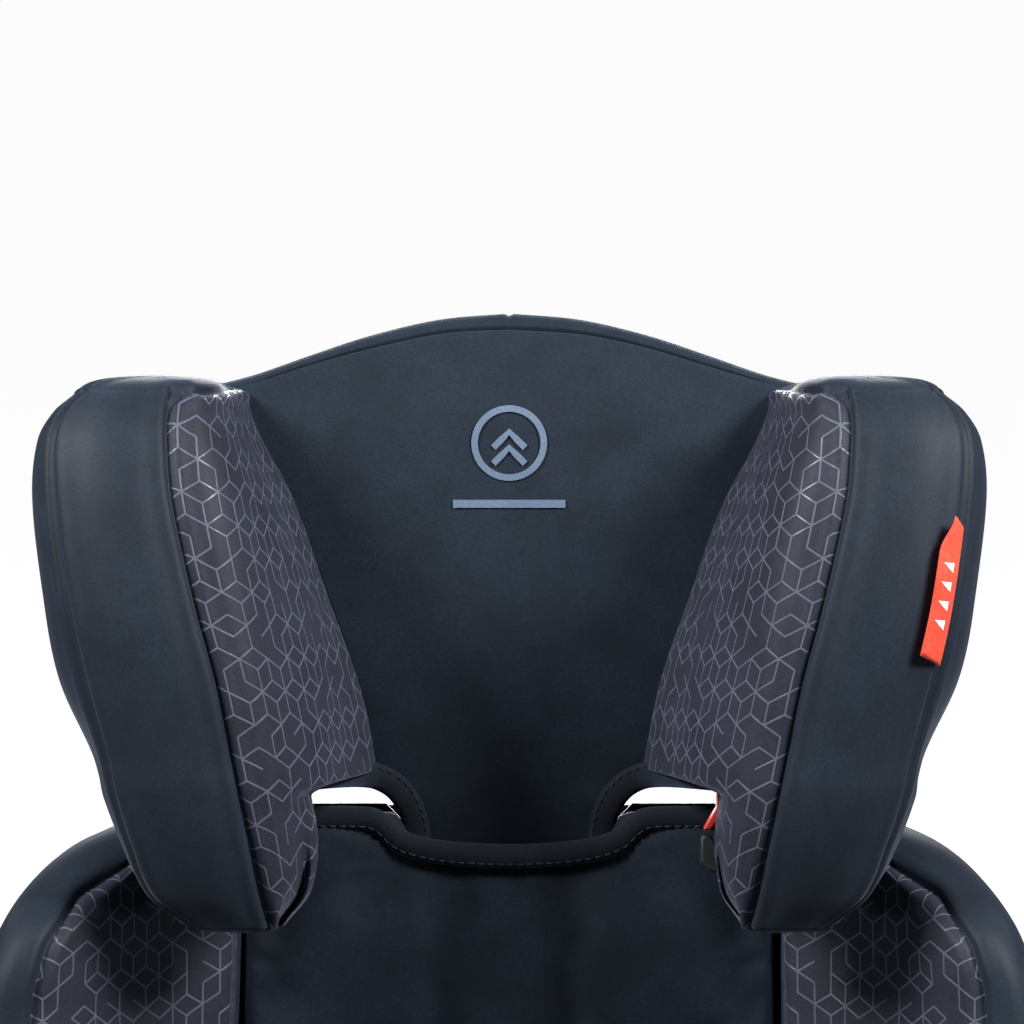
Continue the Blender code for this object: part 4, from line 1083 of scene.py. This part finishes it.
def armPad(letter):
    # a long soft cap on the armrest, held along its lower edge
    piece = padFromNode("arm_pad_cover_" + letter, "armrest_pad_" + letter, voxel=armCover["voxel"], smooth=5)
    points = meshPoints(piece.data)
    held = np.where(points[:, 2] < points[:, 2].min() + armCover["heldHeight"], 1.0, 0.0)
    blowUp(piece, held, pressure=armCover["pressure"], cap=armCover["cap"])
    fine = piece.modifiers.new("fine", "SUBSURF")
    fine.levels = fine.render_levels = 1
    piece.data.materials.clear()
    piece.data.materials.append(navyKnit)
    piece.data.shade_smooth()
    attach(piece, "seat_base")
    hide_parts("armrest_pad_" + letter)


for letter in "LR":
    armPad(letter)
print("seat made")

# pale floor: its own soft glow keeps it white in view, and it throws little light back up
floorMat = bpy.data.materials.new("studio_floor_pale")
floorMat.use_nodes = True
floorTree = floorMat.node_tree
floorTree.nodes.clear()
floorSeen = addNode(floorTree, "LightPath").outputs["Is Camera Ray"]
floorPaint = addNode(floorTree, "BsdfDiffuse", {"Color": (0.85, 0.85, 0.85, 1)})
floorGlow = addNode(floorTree, "Emission", {"Color": (1, 1, 1, 1), "Strength": 0.945})
floorBright = addNode(floorTree, "AddShader", {0: floorPaint.outputs[0], 1: floorGlow.outputs[0]})
floorQuiet = addNode(floorTree, "BsdfDiffuse", {"Color": (0.30, 0.31, 0.33, 1)})
floorMix = addNode(floorTree, "MixShader", {0: floorSeen, 1: floorQuiet.outputs[0],
                                            2: floorBright.outputs[0]})
addNode(floorTree, "OutputMaterial", {"Surface": floorMix.outputs[0]})
floorHalf = 60  # metres
floorCorners = [(floorHalf * i, floorHalf * j, -0.001) for i, j in ((-1, -1), (1, -1), (1, 1), (-1, 1))]
floorPiece = pieceFromLists("studio_floor", floorCorners, [(0, 1, 2, 3)], floorMat)

# straight on to the leaned headrest; viewWide is how much the frame takes in at the wings' front, in metres
cameraSetup = {"distance": 1.90, "frontPlane": -0.150, "height": 0.505, "viewWide": 0.413696,
               "sideShift": 0.0012}
cameraData = bpy.data.cameras.new("camera")
cameraData.sensor_width = 36.0
cameraData.lens = 36.0 * cameraSetup["distance"] / cameraSetup["viewWide"]
camera = bpy.data.objects.new("camera", cameraData)
bpy.context.collection.objects.link(camera)
side, height = cameraSetup["sideShift"], cameraSetup["height"]
spot, aim = leaned([[side, cameraSetup["frontPlane"] - cameraSetup["distance"], height], [side, 0.0, height]])
camera.location = spot
camera.rotation_euler = (Vector(aim) - Vector(spot)).to_track_quat("-Z", "Y").to_euler()
cameraData.clip_start = 0.05
bpy.context.scene.camera = camera


def softbox(name, location, target, size, power, spread=180, colour="ffffff"):
    data = bpy.data.lights.new(name, "AREA")
    data.shape = "RECTANGLE"
    data.size, data.size_y = size
    data.energy = power
    data.spread = math.radians(spread)
    data.color = linearColour(colour)[:3]
    lamp = bpy.data.objects.new(name, data)
    bpy.context.collection.objects.link(lamp)
    lamp.location = location
    lamp.rotation_euler = (Vector(target) - Vector(location)).to_track_quat("-Z", "Y").to_euler()
    return lamp


softbox("left_box", (-1.05, -0.49, 1.48), (0, -0.03, 0.60), (0.5, 0.5), 20.0, 120)
softbox("right_box", (1.05, -0.49, 1.48), (0, -0.03, 0.60), (0.5, 0.5), 22.0, 120)
softbox("low_left_box", (-1.25, -0.50, 0.26), (0.15, -0.06, 0.27), (0.25, 0.25), 0.12, 30)
softbox("low_right_box", (1.25, -0.50, 0.26), (-0.15, -0.06, 0.27), (0.25, 0.25), 0.12, 30)
softbox("back_box", (0, 1.75, 0.60), (0, 0.10, 0.28), (0.7, 0.7), 4.0, 60)

world = bpy.data.worlds.new("studio_white")
bpy.context.scene.world = world
world.use_nodes = True
worldTree = world.node_tree
worldTree.nodes.clear()
seen = addNode(worldTree, "LightPath").outputs["Is Camera Ray"]
white = addNode(worldTree, "Background", {"Color": (1, 1, 1, 1), "Strength": 1.0})
ambient = addNode(worldTree, "Background", {"Color": (0.88, 0.94, 1, 1), "Strength": 0.035})
mixed = addNode(worldTree, "MixShader", {0: seen, 1: ambient.outputs[0], 2: white.outputs[0]})
addNode(worldTree, "OutputWorld", {"Surface": mixed.outputs[0]})
bpy.context.scene.view_settings.view_transform = "Standard"
print("stage made")
